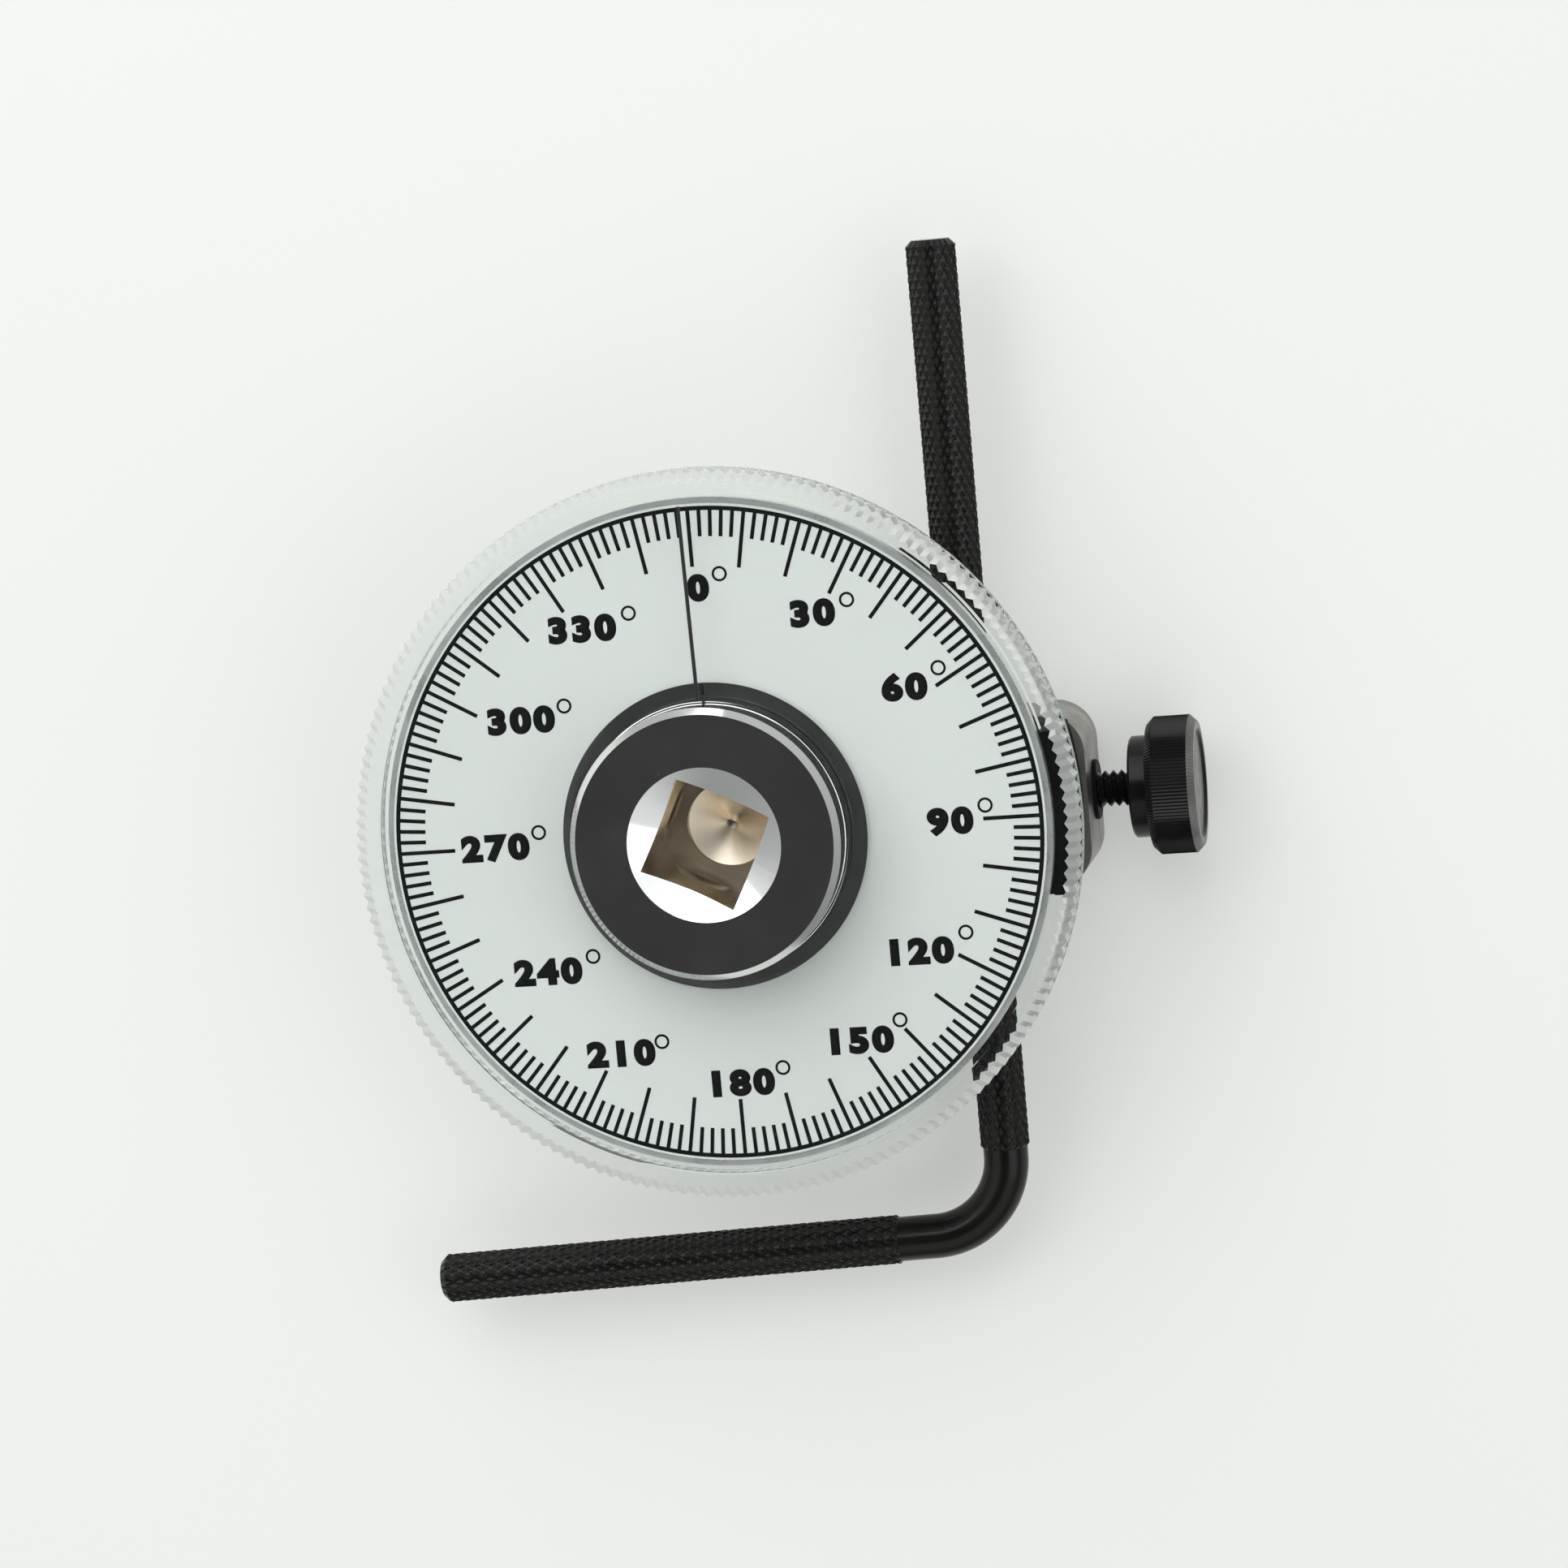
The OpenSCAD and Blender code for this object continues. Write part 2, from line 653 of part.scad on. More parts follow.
// Split sleeve, held between the strap's legs
module clamp_sleeve() {
    long = block_w - 4 * run_clear;
    color([0.5, 0.5, 0.52]) along_y(rod_x, z_rod, 1) difference() {
        cylinder(h = long, r = sleeve_r, center = true);
        cylinder(h = long + 2 * over, r = sleeve_in_r, center = true);
        translate([-sleeve_r - over, -sleeve_slot / 2, -long])
            cube([sleeve_r + over, sleeve_slot, 2 * long]);
    }
}

module pressure_pad() {
    edge = pad_r / 4;
    color([0.75, 0.6, 0.3]) along_x(x_pad) rotate_extrude() polygon([
        [0, 0], [pad_r - edge, 0], [pad_r, edge], [pad_r, pad_len], [0, pad_len]
    ]);
}

// Straight length of rod along Z: plain next to the bend, then knurled up to its chamfered end
module rod_arm(length, plain) {
    plain_r = rod_plain_d / 2;
    rotate_extrude() polygon([
        [0, 0], [plain_r, 0], [plain_r, plain], [rod_r, plain + rod_r - plain_r],
        [rod_r, length - rod_chamfer], [rod_r - rod_chamfer, length], [0, length]
    ]);
}

module reaction_rod() {
    color([0.1, 0.1, 0.1]) translate([rod_x - rod_bend_r, -rod_back, z_rod]) {
        translate([rod_bend_r, 0, 0]) rotate([-90, 0, 0]) rod_arm(rod_back + rod_reach, rod_plain_long);
        rotate([0, 0, -rod_bend]) {
            rotate_extrude(angle = rod_bend) translate([rod_bend_r, 0]) circle(rod_plain_d / 2);
            translate([rod_bend_r, 0, 0]) rotate([90, 0, 0]) rod_arm(rod_short, rod_plain_short);
        }
    }
}

module thumbscrew() {
    tip = screw_r / 4;
    knob_r = knob_d / 2;
    collar_at = x_collar - x_stud;
    knob_at = x_knob - x_stud;
    end = x_end - x_stud;
    color([0.09, 0.09, 0.1]) along_x(x_stud) rotate_extrude() polygon([
        [0, 0], [screw_r - tip, 0], [screw_r, tip], [screw_r, collar_at],
        [collar_d / 2, collar_at], [collar_d / 2, knob_at], [knob_r - knob_chamfer, knob_at],
        [knob_r, knob_at + knob_chamfer], [knob_r, end - knob_chamfer], [knob_r - knob_chamfer, end], [0, end]
    ]);
}

spindle();
detent_ball();
detent_spring();
retaining_ring();
spacer_washer();
thrust_washer();
bushing();
carrier();
dial_plate();
dial_face();
dial_screws();
pointer_disc();
pointer_line();
friction_ring();
clamp_block();
block_screws();
clamp_strap();
strap_rivets();
thread_bush();
clamp_sleeve();
pressure_pad();
reaction_rod();
thumbscrew();
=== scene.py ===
"""Looks for a torque angle gauge: degree dial, clear knurled pointer disc, knurled rod and thumbscrew."""

import math
from functools import partial

import bmesh
import bpy
from bpy.props import FloatProperty, FloatVectorProperty, IntProperty, PointerProperty
from mathutils import Euler, Matrix, Vector


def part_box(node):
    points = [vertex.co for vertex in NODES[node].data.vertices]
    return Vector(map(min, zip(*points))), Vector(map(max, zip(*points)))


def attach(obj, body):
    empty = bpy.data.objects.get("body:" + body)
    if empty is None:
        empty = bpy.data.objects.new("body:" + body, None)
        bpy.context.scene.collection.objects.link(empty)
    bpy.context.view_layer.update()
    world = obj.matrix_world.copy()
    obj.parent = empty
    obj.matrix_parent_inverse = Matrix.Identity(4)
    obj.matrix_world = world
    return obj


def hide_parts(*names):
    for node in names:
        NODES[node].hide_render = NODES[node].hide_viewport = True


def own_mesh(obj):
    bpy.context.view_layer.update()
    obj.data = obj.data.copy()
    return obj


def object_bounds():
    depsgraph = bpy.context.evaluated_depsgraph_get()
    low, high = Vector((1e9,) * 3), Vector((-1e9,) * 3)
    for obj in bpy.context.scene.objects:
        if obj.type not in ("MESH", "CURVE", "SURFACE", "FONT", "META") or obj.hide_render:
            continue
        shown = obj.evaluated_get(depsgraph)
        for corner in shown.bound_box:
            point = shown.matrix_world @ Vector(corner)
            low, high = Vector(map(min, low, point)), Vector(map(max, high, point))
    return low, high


bl_info = {
    "name": "Torque Angle Gauge",
    "version": (1, 0, 0),
    "blender": (4, 5, 0),
    "location": "3D View > Sidebar > Gauge",
    "description": "Dresses the solids of a torque angle gauge with print, knurls, threads and finishes",
    "category": "Object",
}

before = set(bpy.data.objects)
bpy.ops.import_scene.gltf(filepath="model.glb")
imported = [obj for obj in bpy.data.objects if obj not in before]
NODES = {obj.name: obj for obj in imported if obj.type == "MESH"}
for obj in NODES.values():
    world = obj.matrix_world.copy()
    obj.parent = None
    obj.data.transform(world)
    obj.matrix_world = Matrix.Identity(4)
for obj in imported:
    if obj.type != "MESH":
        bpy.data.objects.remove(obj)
CAD_BOX = [list(corner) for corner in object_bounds()]
MM = 0.001

# Places taken from the solids, in metres
DIAL_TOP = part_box("dial_face")[1].z
PLATE_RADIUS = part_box("dial_plate")[1].y
DISC_LOW, DISC_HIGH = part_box("pointer_disc")
SCREW_LOW, SCREW_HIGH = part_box("thumbscrew")
ROD_LOW, ROD_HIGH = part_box("reaction_rod")
ROD_AXIS_Z = (ROD_LOW.z + ROD_HIGH.z) / 2
SCREW_AXIS_Z = (SCREW_LOW.z + SCREW_HIGH.z) / 2
HEAD_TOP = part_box("spindle")[1].z

# Centres of each number and of its degree ring on the dial, in millimetres
NUMBER_PLACES = {
    0: ((0.5, 31.7), (3.4, 33.3)),
    30: ((14.9, 27.5), (19.4, 28.9)),
    60: ((25.8, 17.4), (30.3, 19.5)),
    90: ((30.2, -0.1), (34.8, 1.7)),
    120: ((25.2, -16.5), (31.0, -14.4)),
    150: ((16.5, -27.6), (21.6, -25.2)),
    180: ((0.6, -32.3), (5.9, -30.6)),
    210: ((-15.1, -27.7), (-9.6, -26.4)),
    240: ((-23.7, -16.5), (-17.6, -14.8)),
    270: ((-29.1, 0.0), (-23.2, 1.7)),
    300: ((-24.1, 16.3), (-18.3, 17.8)),
    330: ((-15.0, 27.5), (-8.8, 29.1)),
}

# Every fifth mark of the dial is a long one, and its numbers are set wider than the font's own spacing
LONG_MARK_EVERY = 5
NUMBER_SPACING = 1.25

# Sizes of the pointer disc, in metres
DISC_THICKNESS = 0.003
DISC_BORE = 0.0175
DISC_EDGE = 0.0001
SKIRT_GAP = 0.0008

# Height at which the diamonds of the rod's knurl are cut flat, as a share of their full height
DIAMOND_FLAT = 0.7

# Edge of the knob, and lengths over which the thread runs in at the tip and out at the collar, in metres
KNOB_EDGE = 0.0003
THREAD_RUN_IN = 0.0006
THREAD_RUN_OUT = 0.0004

# Mesh steps: in a diamond, a tooth, a thread's pitch and a number's curve, and along the rod's bend in metres
STEPS_PER_DIAMOND = 6
STEPS_PER_TOOTH = 4
STEPS_PER_PITCH = 10
STEPS_PER_CURVE = 5
BEND_STEP = 0.0005

# Guard against rounding when steps are counted, and how far apart merged corners may lie, in metres
ROUNDING = 1e-6
MERGE_REACH = 1e-7

# Mesh segments round the printed ring, a degree sign and the thread
RING_SEGMENTS = 240
SIGN_SEGMENTS = 40
THREAD_SEGMENTS = 60

# Angles above which an edge stays sharp, in degrees
DISC_SHARP = 18.0
ROD_SHARP = 22.0
SCREW_SHARP = 24.0

# Reach of the spindle's socket and head, in metres
SOCKET_MOUTH_DEPTH = 0.00205
SOCKET_DEPTH = 0.0203
SOCKET_REACH = 0.0095
HEAD_RADIUS = 0.0174

# Range of the grain's noise, tone of the clouds on a pale surface, and share of the cells without a speck
NOISE_LOW = 0.3
NOISE_HIGH = 0.7
CLOUD_TONE = 0.985
SPECKLESS = 0.8

# Finish that the retaining ring shares with the detent spring
SPRING_STEEL = "phosphated steel"

# Heights of fine and coarse bumps, in metres
FINE_BUMP = 0.00001
COARSE_BUMP = 0.00002

# Acrylic: refraction, share of its roughness that varies, and lamp light that the clear disc lets through
ACRYLIC_IOR = 1.49
ACRYLIC_SPREAD = 0.6
CLEAR_SHADE = (0.965, 0.972, 0.97)

# Brightness of the sky from the horizon up, its tint, and how much of it changes from south to north
SKY_BANDS = ((0.0, 0.3), (0.36, 0.4), (0.56, 0.85), (0.87, 0.85), (0.94, 0.038), (1.0, 0.034))
SKY_TINT = (1.0, 1.015, 1.0)
SKY_NORTH = 0.35

# Places and sizes of the lamps, and the point that they aim at, in metres
KEY_PLACE = (-0.25, 0.55, 0.5)
KEY_SIZE = 0.9
FILL_PLACE = (0.664, -0.123, 0.594)
FILL_SIZE = 0.6
LAMP_AIM = (0.0, 0.0, 0.02)

# Reach of the floor from its middle, and the gap that keeps it clear of the drive's tip, in metres
FLOOR_REACH = 2.0
FLOOR_GAP = 0.0001

# Turn of the camera in degrees, width of its sensor in millimetres and its nearest sight in metres
CAMERA_TURN = (-8.6233, 10.2178, -5.1135)
SENSOR_WIDTH = 36.0
NEAREST_SIGHT = 0.01


# Settings that share a unit: lengths in metres, and colours
LengthProperty = partial(FloatProperty, unit="LENGTH")
ColourProperty = partial(FloatVectorProperty, subtype="COLOR")


class GaugeDialSettings(bpy.types.PropertyGroup):
    """Sizes and colours of the printed dial"""

    mark_count: IntProperty(name="Marks", description="Marks round the dial", default=180, min=36, max=360)
    # The ring is a printed line drawn as wide as the dark line at the dial's edge, so it is partly painted
    # shade of the plate's edge and the gap round it
    ring_radius: LengthProperty(
        name="Ring radius", description="Outer edge of the printed ring", default=0.0421)
    ring_width: LengthProperty(name="Ring width", description="Width of the printed ring", default=0.00055)
    short_mark: LengthProperty(name="Short mark", description="Length of a two degree mark", default=0.0036)
    long_mark: LengthProperty(name="Long mark", description="Length of a ten degree mark", default=0.0074)
    mark_width: LengthProperty(name="Mark width", description="Width of a mark", default=0.0005)
    number_size: LengthProperty(name="Number size", description="Text size of the numbers", default=0.00425)
    number_weight: LengthProperty(
        name="Number weight", description="How far the numbers' outlines are thickened", default=0.0003)
    number_stretch: FloatProperty(
        name="Number stretch", description="Width of the numbers over the font's own", default=1.17)
    sign_radius: LengthProperty(
        name="Degree sign", description="Outer radius of the degree sign", default=0.00098)
    sign_width: LengthProperty(
        name="Degree sign stroke", description="Stroke of the degree sign", default=0.0003)
    print_height: LengthProperty(
        name="Print height", description="How far the print stands on the sheet", default=0.00002)
    sheet_colour: ColourProperty(
        name="Sheet", description="Colour of the dial sheet", default=(0.84, 0.862, 0.846))
    print_colour: ColourProperty(
        name="Print", description="Colour of the print", default=(0.008, 0.008, 0.009))


class GaugeDiscSettings(bpy.types.PropertyGroup):
    """Sizes and colour of the clear pointer disc"""

    tooth_count: IntProperty(
        name="Teeth", description="Teeth of the rim's knurl", default=180, min=60, max=400)
    tooth_depth: LengthProperty(name="Tooth depth", description="Depth of a tooth", default=0.0005)
    rim_chamfer: LengthProperty(
        name="Rim chamfer", description="Chamfer on the rim's upper edge", default=0.0013)
    foot_chamfer: LengthProperty(
        name="Foot chamfer", description="Chamfer on the rim's lower edge", default=0.0004)
    foot_lip: LengthProperty(
        name="Foot lip", description="Plain band of the rim under its teeth", default=0.0004)
    clear_colour: ColourProperty(
        name="Acrylic", description="Tint of the acrylic", default=(0.965, 0.985, 0.975))
    frost_colour: ColourProperty(
        name="Frosted knurl", description="Colour of the frosted knurl", default=(0.7, 0.72, 0.71))


class GaugeRodSettings(bpy.types.PropertyGroup):
    """Sizes and colour of the reaction rod"""

    bend_radius: LengthProperty(
        name="Bend radius", description="Radius of the bend at the rod's centre", default=0.0105)
    bend_angle: FloatProperty(
        name="Bend angle", description="Angle of the bend", default=math.radians(87.6), subtype="ANGLE")
    bend_start: LengthProperty(
        name="Bend start", description="Distance from the drive axis to the bend", default=0.0478)
    short_arm: LengthProperty(name="Short arm", description="Length of the short arm", default=0.0677)
    chamfer: LengthProperty(name="Chamfer", description="Chamfer at the ends", default=0.0008)
    plain_radius: LengthProperty(
        name="Plain radius", description="Radius of the plain rod at the bend", default=0.00295)
    plain_long: LengthProperty(
        name="Plain long arm", description="Plain length before the bend", default=0.0012)
    plain_short: LengthProperty(
        name="Plain short arm", description="Plain length after the bend", default=0.0049)
    diamonds_round: IntProperty(name="Diamonds", description="Knurl diamonds round the rod", default=18)
    diamond_pitch: LengthProperty(
        name="Diamond pitch", description="Length of a knurl diamond", default=0.0021)
    diamond_depth: LengthProperty(name="Diamond depth", description="Depth of the knurl", default=0.0003)
    oxide_colour: ColourProperty(
        name="Black oxide", description="Colour of the rod", default=(0.0065, 0.0064, 0.006))


class GaugeScrewSettings(bpy.types.PropertyGroup):
    """Sizes and colour of the thumbscrew"""

    stud_radius: LengthProperty(name="Stud radius", description="Outer thread radius", default=0.0024)
    thread_pitch: LengthProperty(name="Pitch", description="Pitch of the thread", default=0.001058)
    thread_depth: LengthProperty(name="Thread depth", description="Depth of the thread", default=0.0006)
    collar_start: LengthProperty(
        name="Collar start", description="Place of the collar along X", default=0.0513)
    collar_radius: LengthProperty(name="Collar radius", description="Radius of the collar", default=0.0066)
    head_start: LengthProperty(name="Head start", description="Place of the head along X", default=0.0537)
    head_bevel: LengthProperty(name="Head bevel", description="Bevel of the head's edges", default=0.0009)
    head_teeth: IntProperty(name="Head teeth", description="Teeth of the head's knurl", default=120)
    head_tooth_depth: LengthProperty(
        name="Head tooth depth", description="Depth of a tooth", default=0.00018)
    knob_colour: ColourProperty(
        name="Knob black", description="Colour of the thumbscrew", default=(0.0065, 0.0067, 0.007))


class GaugeStageSettings(bpy.types.PropertyGroup):
    """Floor, light and camera"""

    floor_colour: ColourProperty(name="Floor", description="Colour of the floor", default=(0.85, 0.87, 0.84))
    floor_glow: FloatProperty(
        name="Floor glow", description="Share of the floor's tone that takes no shadow", default=0.4)
    key_power: FloatProperty(
        name="Key light", description="Power of the key light", default=3.3, unit="POWER")
    fill_power: FloatProperty(
        name="Fill light", description="Power of the fill light", default=0.62, unit="POWER")
    sky_strength: FloatProperty(
        name="Sky", description="Strength of the light from all round", default=1.28)
    camera_place: FloatVectorProperty(
        name="Camera", description="Place of the camera", default=(0.125618, 0.08868, 0.630795),
        subtype="TRANSLATION", unit="LENGTH")
    camera_turn: FloatVectorProperty(
        name="Camera turn", description="Turn of the camera about X, Y and Z",
        default=[math.radians(angle) for angle in CAMERA_TURN], subtype="EULER")
    camera_lens: FloatProperty(
        name="Lens", description="Focal length on a 36 mm sensor, in millimetres", default=111.8012)


SETTINGS = {
    "gauge_dial": GaugeDialSettings,
    "gauge_disc": GaugeDiscSettings,
    "gauge_rod": GaugeRodSettings,
    "gauge_screw": GaugeScrewSettings,
    "gauge_stage": GaugeStageSettings,
}


class Wiring:
    """Short calls for adding and linking the nodes of one tree."""

    def __init__(self, tree):
        self.tree = tree

    def add(self, kind, inputs=None, **settings):
        """New node with its settings, and its inputs fed by their names or places"""
        node = self.tree.nodes.new(kind)
        for key, value in settings.items():
            setattr(node, key, value)
        for key, value in (inputs or {}).items():
            self.feed(node.inputs[key], value)
        return node

    def feed(self, socket, value):
        if isinstance(value, bpy.types.NodeSocket):
            self.tree.links.new(value, socket)
        else:
            socket.default_value = value

    def math(self, operation, *values):
        node = self.add("ShaderNodeMath", dict(enumerate(values)), operation=operation)
        return node.outputs[0]

    def vector(self, operation, *values, scale=None):
        node = self.add("ShaderNodeVectorMath", dict(enumerate(values)), operation=operation)
        if scale is not None:
            self.feed(node.inputs["Scale"], scale)
        return node.outputs["Value" if operation == "LENGTH" else "Vector"]

    def triangle(self, value):
        """0 at whole numbers and 1 halfway between them"""
        return self.math("MULTIPLY", self.math("PINGPONG", value, 0.5), 2.0)


def new_geometry_tree(name, inputs):
    """Geometry tree with a geometry in and out and the named inputs, and its wiring and input node."""
    tree = bpy.data.node_groups.new(name, "GeometryNodeTree")
    tree.interface.new_socket("Geometry", in_out="INPUT", socket_type="NodeSocketGeometry")
    for label, kind in inputs:
        tree.interface.new_socket(label, in_out="INPUT", socket_type="NodeSocket" + kind)
    tree.interface.new_socket("Material", in_out="INPUT", socket_type="NodeSocketMaterial")
    tree.interface.new_socket("Geometry", in_out="OUTPUT", socket_type="NodeSocketGeometry")
    wiring = Wiring(tree)
    return wiring, wiring.add("NodeGroupInput")


def close_geometry_tree(wiring, entry, geometry):
    """Ends a tree in Realize Instances and Set Material."""
    realize = wiring.add("GeometryNodeRealizeInstances", {0: geometry})
    paint = wiring.add("GeometryNodeSetMaterial", {
        "Geometry": realize.outputs[0], "Material": entry.outputs["Material"]})
    wiring.add("NodeGroupOutput", {0: paint.outputs[0]})
    return wiring.tree


def move_points(wiring, entry, offset):
    """Set Position on the tree's own geometry."""
    mover = wiring.add("GeometryNodeSetPosition", {
        "Geometry": entry.outputs["Geometry"], "Offset": offset})
    return mover.outputs[0]


def polar(wiring):
    """Angle and outward direction of each point about Z, and its height."""
    place = wiring.add("GeometryNodeInputPosition").outputs[0]
    split = wiring.add("ShaderNodeSeparateXYZ", {0: place})
    angle = wiring.math("ARCTAN2", split.outputs["Y"], split.outputs["X"])
    flat = wiring.vector("MULTIPLY", place, (1.0, 1.0, 0.0))
    return angle, wiring.vector("NORMALIZE", flat), split.outputs["Z"]


def carried(wiring, label, kind="FLOAT"):
    """Attribute that the points carry."""
    reader = wiring.add("GeometryNodeInputNamedAttribute", {"Name": label}, data_type=kind)
    return reader.outputs[0]


def cut_inwards(wiring, entry, outward, share):
    """Moves the points inwards by a share of the depth, where their weight is one."""
    depth = wiring.math("MULTIPLY", share, entry.outputs["Depth"])
    weighted = wiring.math("MULTIPLY", depth, carried(wiring, "weight"))
    inwards = wiring.math("MULTIPLY", weighted, -1.0)
    return move_points(wiring, entry, wiring.vector("SCALE", outward, scale=inwards))


def rim_knurl_tree():
    """Cuts straight teeth where the weight attribute is one."""
    wiring, entry = new_geometry_tree("Rim knurl", [("Teeth", "Int"), ("Depth", "Float")])
    angle, outward, _ = polar(wiring)
    turn = wiring.math("DIVIDE", wiring.math("MULTIPLY", angle, entry.outputs["Teeth"]), math.tau)
    return close_geometry_tree(wiring, entry, cut_inwards(wiring, entry, outward, wiring.triangle(turn)))


def screw_thread_tree():
    """Cuts a right-hand thread where the weight attribute is one."""
    wiring, entry = new_geometry_tree("Screw thread", [("Pitch", "Float"), ("Depth", "Float")])
    angle, outward, height = polar(wiring)
    turns = wiring.math("SUBTRACT", wiring.math("DIVIDE", height, entry.outputs["Pitch"]),
                        wiring.math("DIVIDE", angle, math.tau))
    return close_geometry_tree(wiring, entry, cut_inwards(wiring, entry, outward, wiring.triangle(turns)))


def diamond_knurl_tree():
    """Presses crossed grooves into a rod whose points carry their place round and along it."""
    wiring, entry = new_geometry_tree(
        "Diamond knurl", [("Diamonds round", "Int"), ("Flat top", "Float"), ("Depth", "Float")])
    across = wiring.math("MULTIPLY", carried(wiring, "round"), entry.outputs["Diamonds round"])
    down = carried(wiring, "along")
    one_way = wiring.triangle(wiring.math("ADD", across, down))
    other_way = wiring.triangle(wiring.math("SUBTRACT", across, down))
    height = wiring.math("MINIMUM", wiring.math("MINIMUM", one_way, other_way), entry.outputs["Flat top"])
    share = wiring.math("SUBTRACT", 1.0, wiring.math("DIVIDE", height, entry.outputs["Flat top"]))
    outward = carried(wiring, "outward", "FLOAT_VECTOR")
    return close_geometry_tree(wiring, entry, cut_inwards(wiring, entry, outward, share))


def dial_marks_tree():
    """Marks of two lengths round a circle."""
    wiring, entry = new_geometry_tree("Dial marks", [
        ("Count", "Int"), ("Long every", "Int"), ("Outer radius", "Float"), ("Short length", "Float"),
        ("Long length", "Float"), ("Width", "Float"), ("Thickness", "Float"), ("Height", "Float")])
    points = wiring.add("GeometryNodePoints", {"Count": entry.outputs["Count"]})
    index = wiring.add("GeometryNodeInputIndex").outputs[0]
    step = wiring.math("DIVIDE", -math.tau, entry.outputs["Count"])
    turn = wiring.add("ShaderNodeCombineXYZ", {"Z": wiring.math("MULTIPLY", index, step)})
    rest = wiring.math("MODULO", index, entry.outputs["Long every"])
    is_long = wiring.math("LESS_THAN", rest, 0.5)
    is_short = wiring.math("SUBTRACT", 1.0, is_long)
    join = wiring.add("GeometryNodeJoinGeometry")
    for length, chosen in (("Short length", is_short), ("Long length", is_long)):
        size = wiring.add("ShaderNodeCombineXYZ", {
            "X": entry.outputs["Width"], "Y": entry.outputs[length], "Z": entry.outputs["Thickness"]})
        bar = wiring.add("GeometryNodeMeshCube", {"Size": size.outputs[0]})
        half = wiring.math("MULTIPLY", entry.outputs[length], 0.5)
        place = wiring.add("ShaderNodeCombineXYZ", {
            "Y": wiring.math("SUBTRACT", entry.outputs["Outer radius"], half), "Z": entry.outputs["Height"]})
        shift = wiring.add("GeometryNodeTransform", {
            "Geometry": bar.outputs[0], "Translation": place.outputs[0]})
        spread = wiring.add("GeometryNodeInstanceOnPoints", {
            "Points": points.outputs[0], "Selection": chosen, "Instance": shift.outputs[0],
            "Rotation": turn.outputs[0]})
        wiring.feed(join.inputs[0], spread.outputs[0])
    return close_geometry_tree(wiring, entry, join.outputs[0])


def link_object(name, data):
    """New object in the scene."""
    made = bpy.data.objects.new(name, data)
    bpy.context.scene.collection.objects.link(made)
    return made


def evaluated_mesh(holder):
    """Plain mesh of an object as its modifiers or its text make it. The object is removed."""
    bpy.context.view_layer.update()
    seen = holder.evaluated_get(bpy.context.evaluated_depsgraph_get())
    mesh = bpy.data.meshes.new_from_object(seen)
    holder.modifiers.clear()
    bpy.data.objects.remove(holder)
    return mesh


def finished_mesh(name, form):
    """Mesh of an edited form, which is freed."""
    mesh = bpy.data.meshes.new(name)
    form.to_mesh(mesh)
    form.free()
    return mesh


def run_tree(tree, mesh, values):
    """Runs a geometry tree on a mesh and returns the result as a plain mesh."""
    holder = link_object("tree_holder", mesh)
    modifier = holder.modifiers.new("tree", "NODES")
    modifier.node_group = tree
    for item in tree.interface.items_tree:
        if item.item_type == "SOCKET" and item.in_out == "INPUT" and item.name in values:
            modifier[item.identifier] = values[item.name]
    return evaluated_mesh(holder)


def lathe(name, profile, segments, closed, weights=None):
    """Turns (radius, height) points about Z. A closed profile makes a ring, an open one meets the axis."""
    form = bmesh.new()
    layer = form.verts.layers.float.new("weight")
    rings = []
    for place, (radius, height) in enumerate(profile):
        count = segments if radius else 1
        ring = []
        for i in range(count):
            a = math.tau * i / segments
            vert = form.verts.new((radius * math.cos(a), radius * math.sin(a), height))
            vert[layer] = weights[place] if weights else 0.0
            ring.append(vert)
        rings.append(ring)
    pairs = list(zip(rings, rings[1:]))
    if closed:
        pairs.append((rings[-1], rings[0]))
    for low, high in pairs:
        for i in range(segments):
            n = (i + 1) % segments
            if len(low) == 1:
                form.faces.new((low[0], high[n], high[i]))
            elif len(high) == 1:
                form.faces.new((low[i], low[n], high[0]))
            else:
                form.faces.new((low[i], low[n], high[n], high[i]))
    bmesh.ops.recalc_face_normals(form, faces=form.faces)
    return finished_mesh(name, form)


def smooth(mesh, degrees):
    """Smooth shading, kept sharp at edges above the angle."""
    mesh.shade_smooth()
    mesh.set_sharp_from_angle(angle=math.radians(degrees))


def place_piece(name, mesh, materials, body, stands_for=()):
    """Links a finished mesh as a piece that rides on a body."""
    piece = link_object(name, mesh)
    chosen = [face.material_index for face in mesh.polygons]
    mesh.materials.clear()
    for material in materials:
        mesh.materials.append(material)
    mesh.polygons.foreach_set("material_index", chosen)
    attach(piece, body)
    if stands_for:
        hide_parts(*stands_for)
    return piece


def join_meshes(name, meshes):
    """One mesh from several."""
    form = bmesh.new()
    for mesh in meshes:
        form.from_mesh(mesh)
    return finished_mesh(name, form)


def merged_copy(name, solid):
    """Copy of a solid's loose triangles with their shared corners merged."""
    form = bmesh.new()
    form.from_mesh(solid)
    bmesh.ops.remove_doubles(form, verts=form.verts, dist=MERGE_REACH)
    return finished_mesh(name, form)


def steps(first, last, spacing):
    """Even steps from first to last, both included, no wider than the spacing."""
    count = max(1, math.ceil(abs(last - first) / spacing - ROUNDING))
    return [first + (last - first) * i / count for i in range(count + 1)]


def new_shader_group(name, inputs, outputs):
    """Shader group with the named float inputs and outputs, and its wiring, entry and exit."""
    group = bpy.data.node_groups.new(name, "ShaderNodeTree")
    for label, default in inputs:
        socket = group.interface.new_socket(label, in_out="INPUT", socket_type="NodeSocketFloat")
        socket.default_value = default
    for label, kind in outputs:
        group.interface.new_socket(label, in_out="OUTPUT", socket_type="NodeSocket" + kind)
    wiring = Wiring(group)
    return wiring, wiring.add("NodeGroupInput"), wiring.add("NodeGroupOutput")


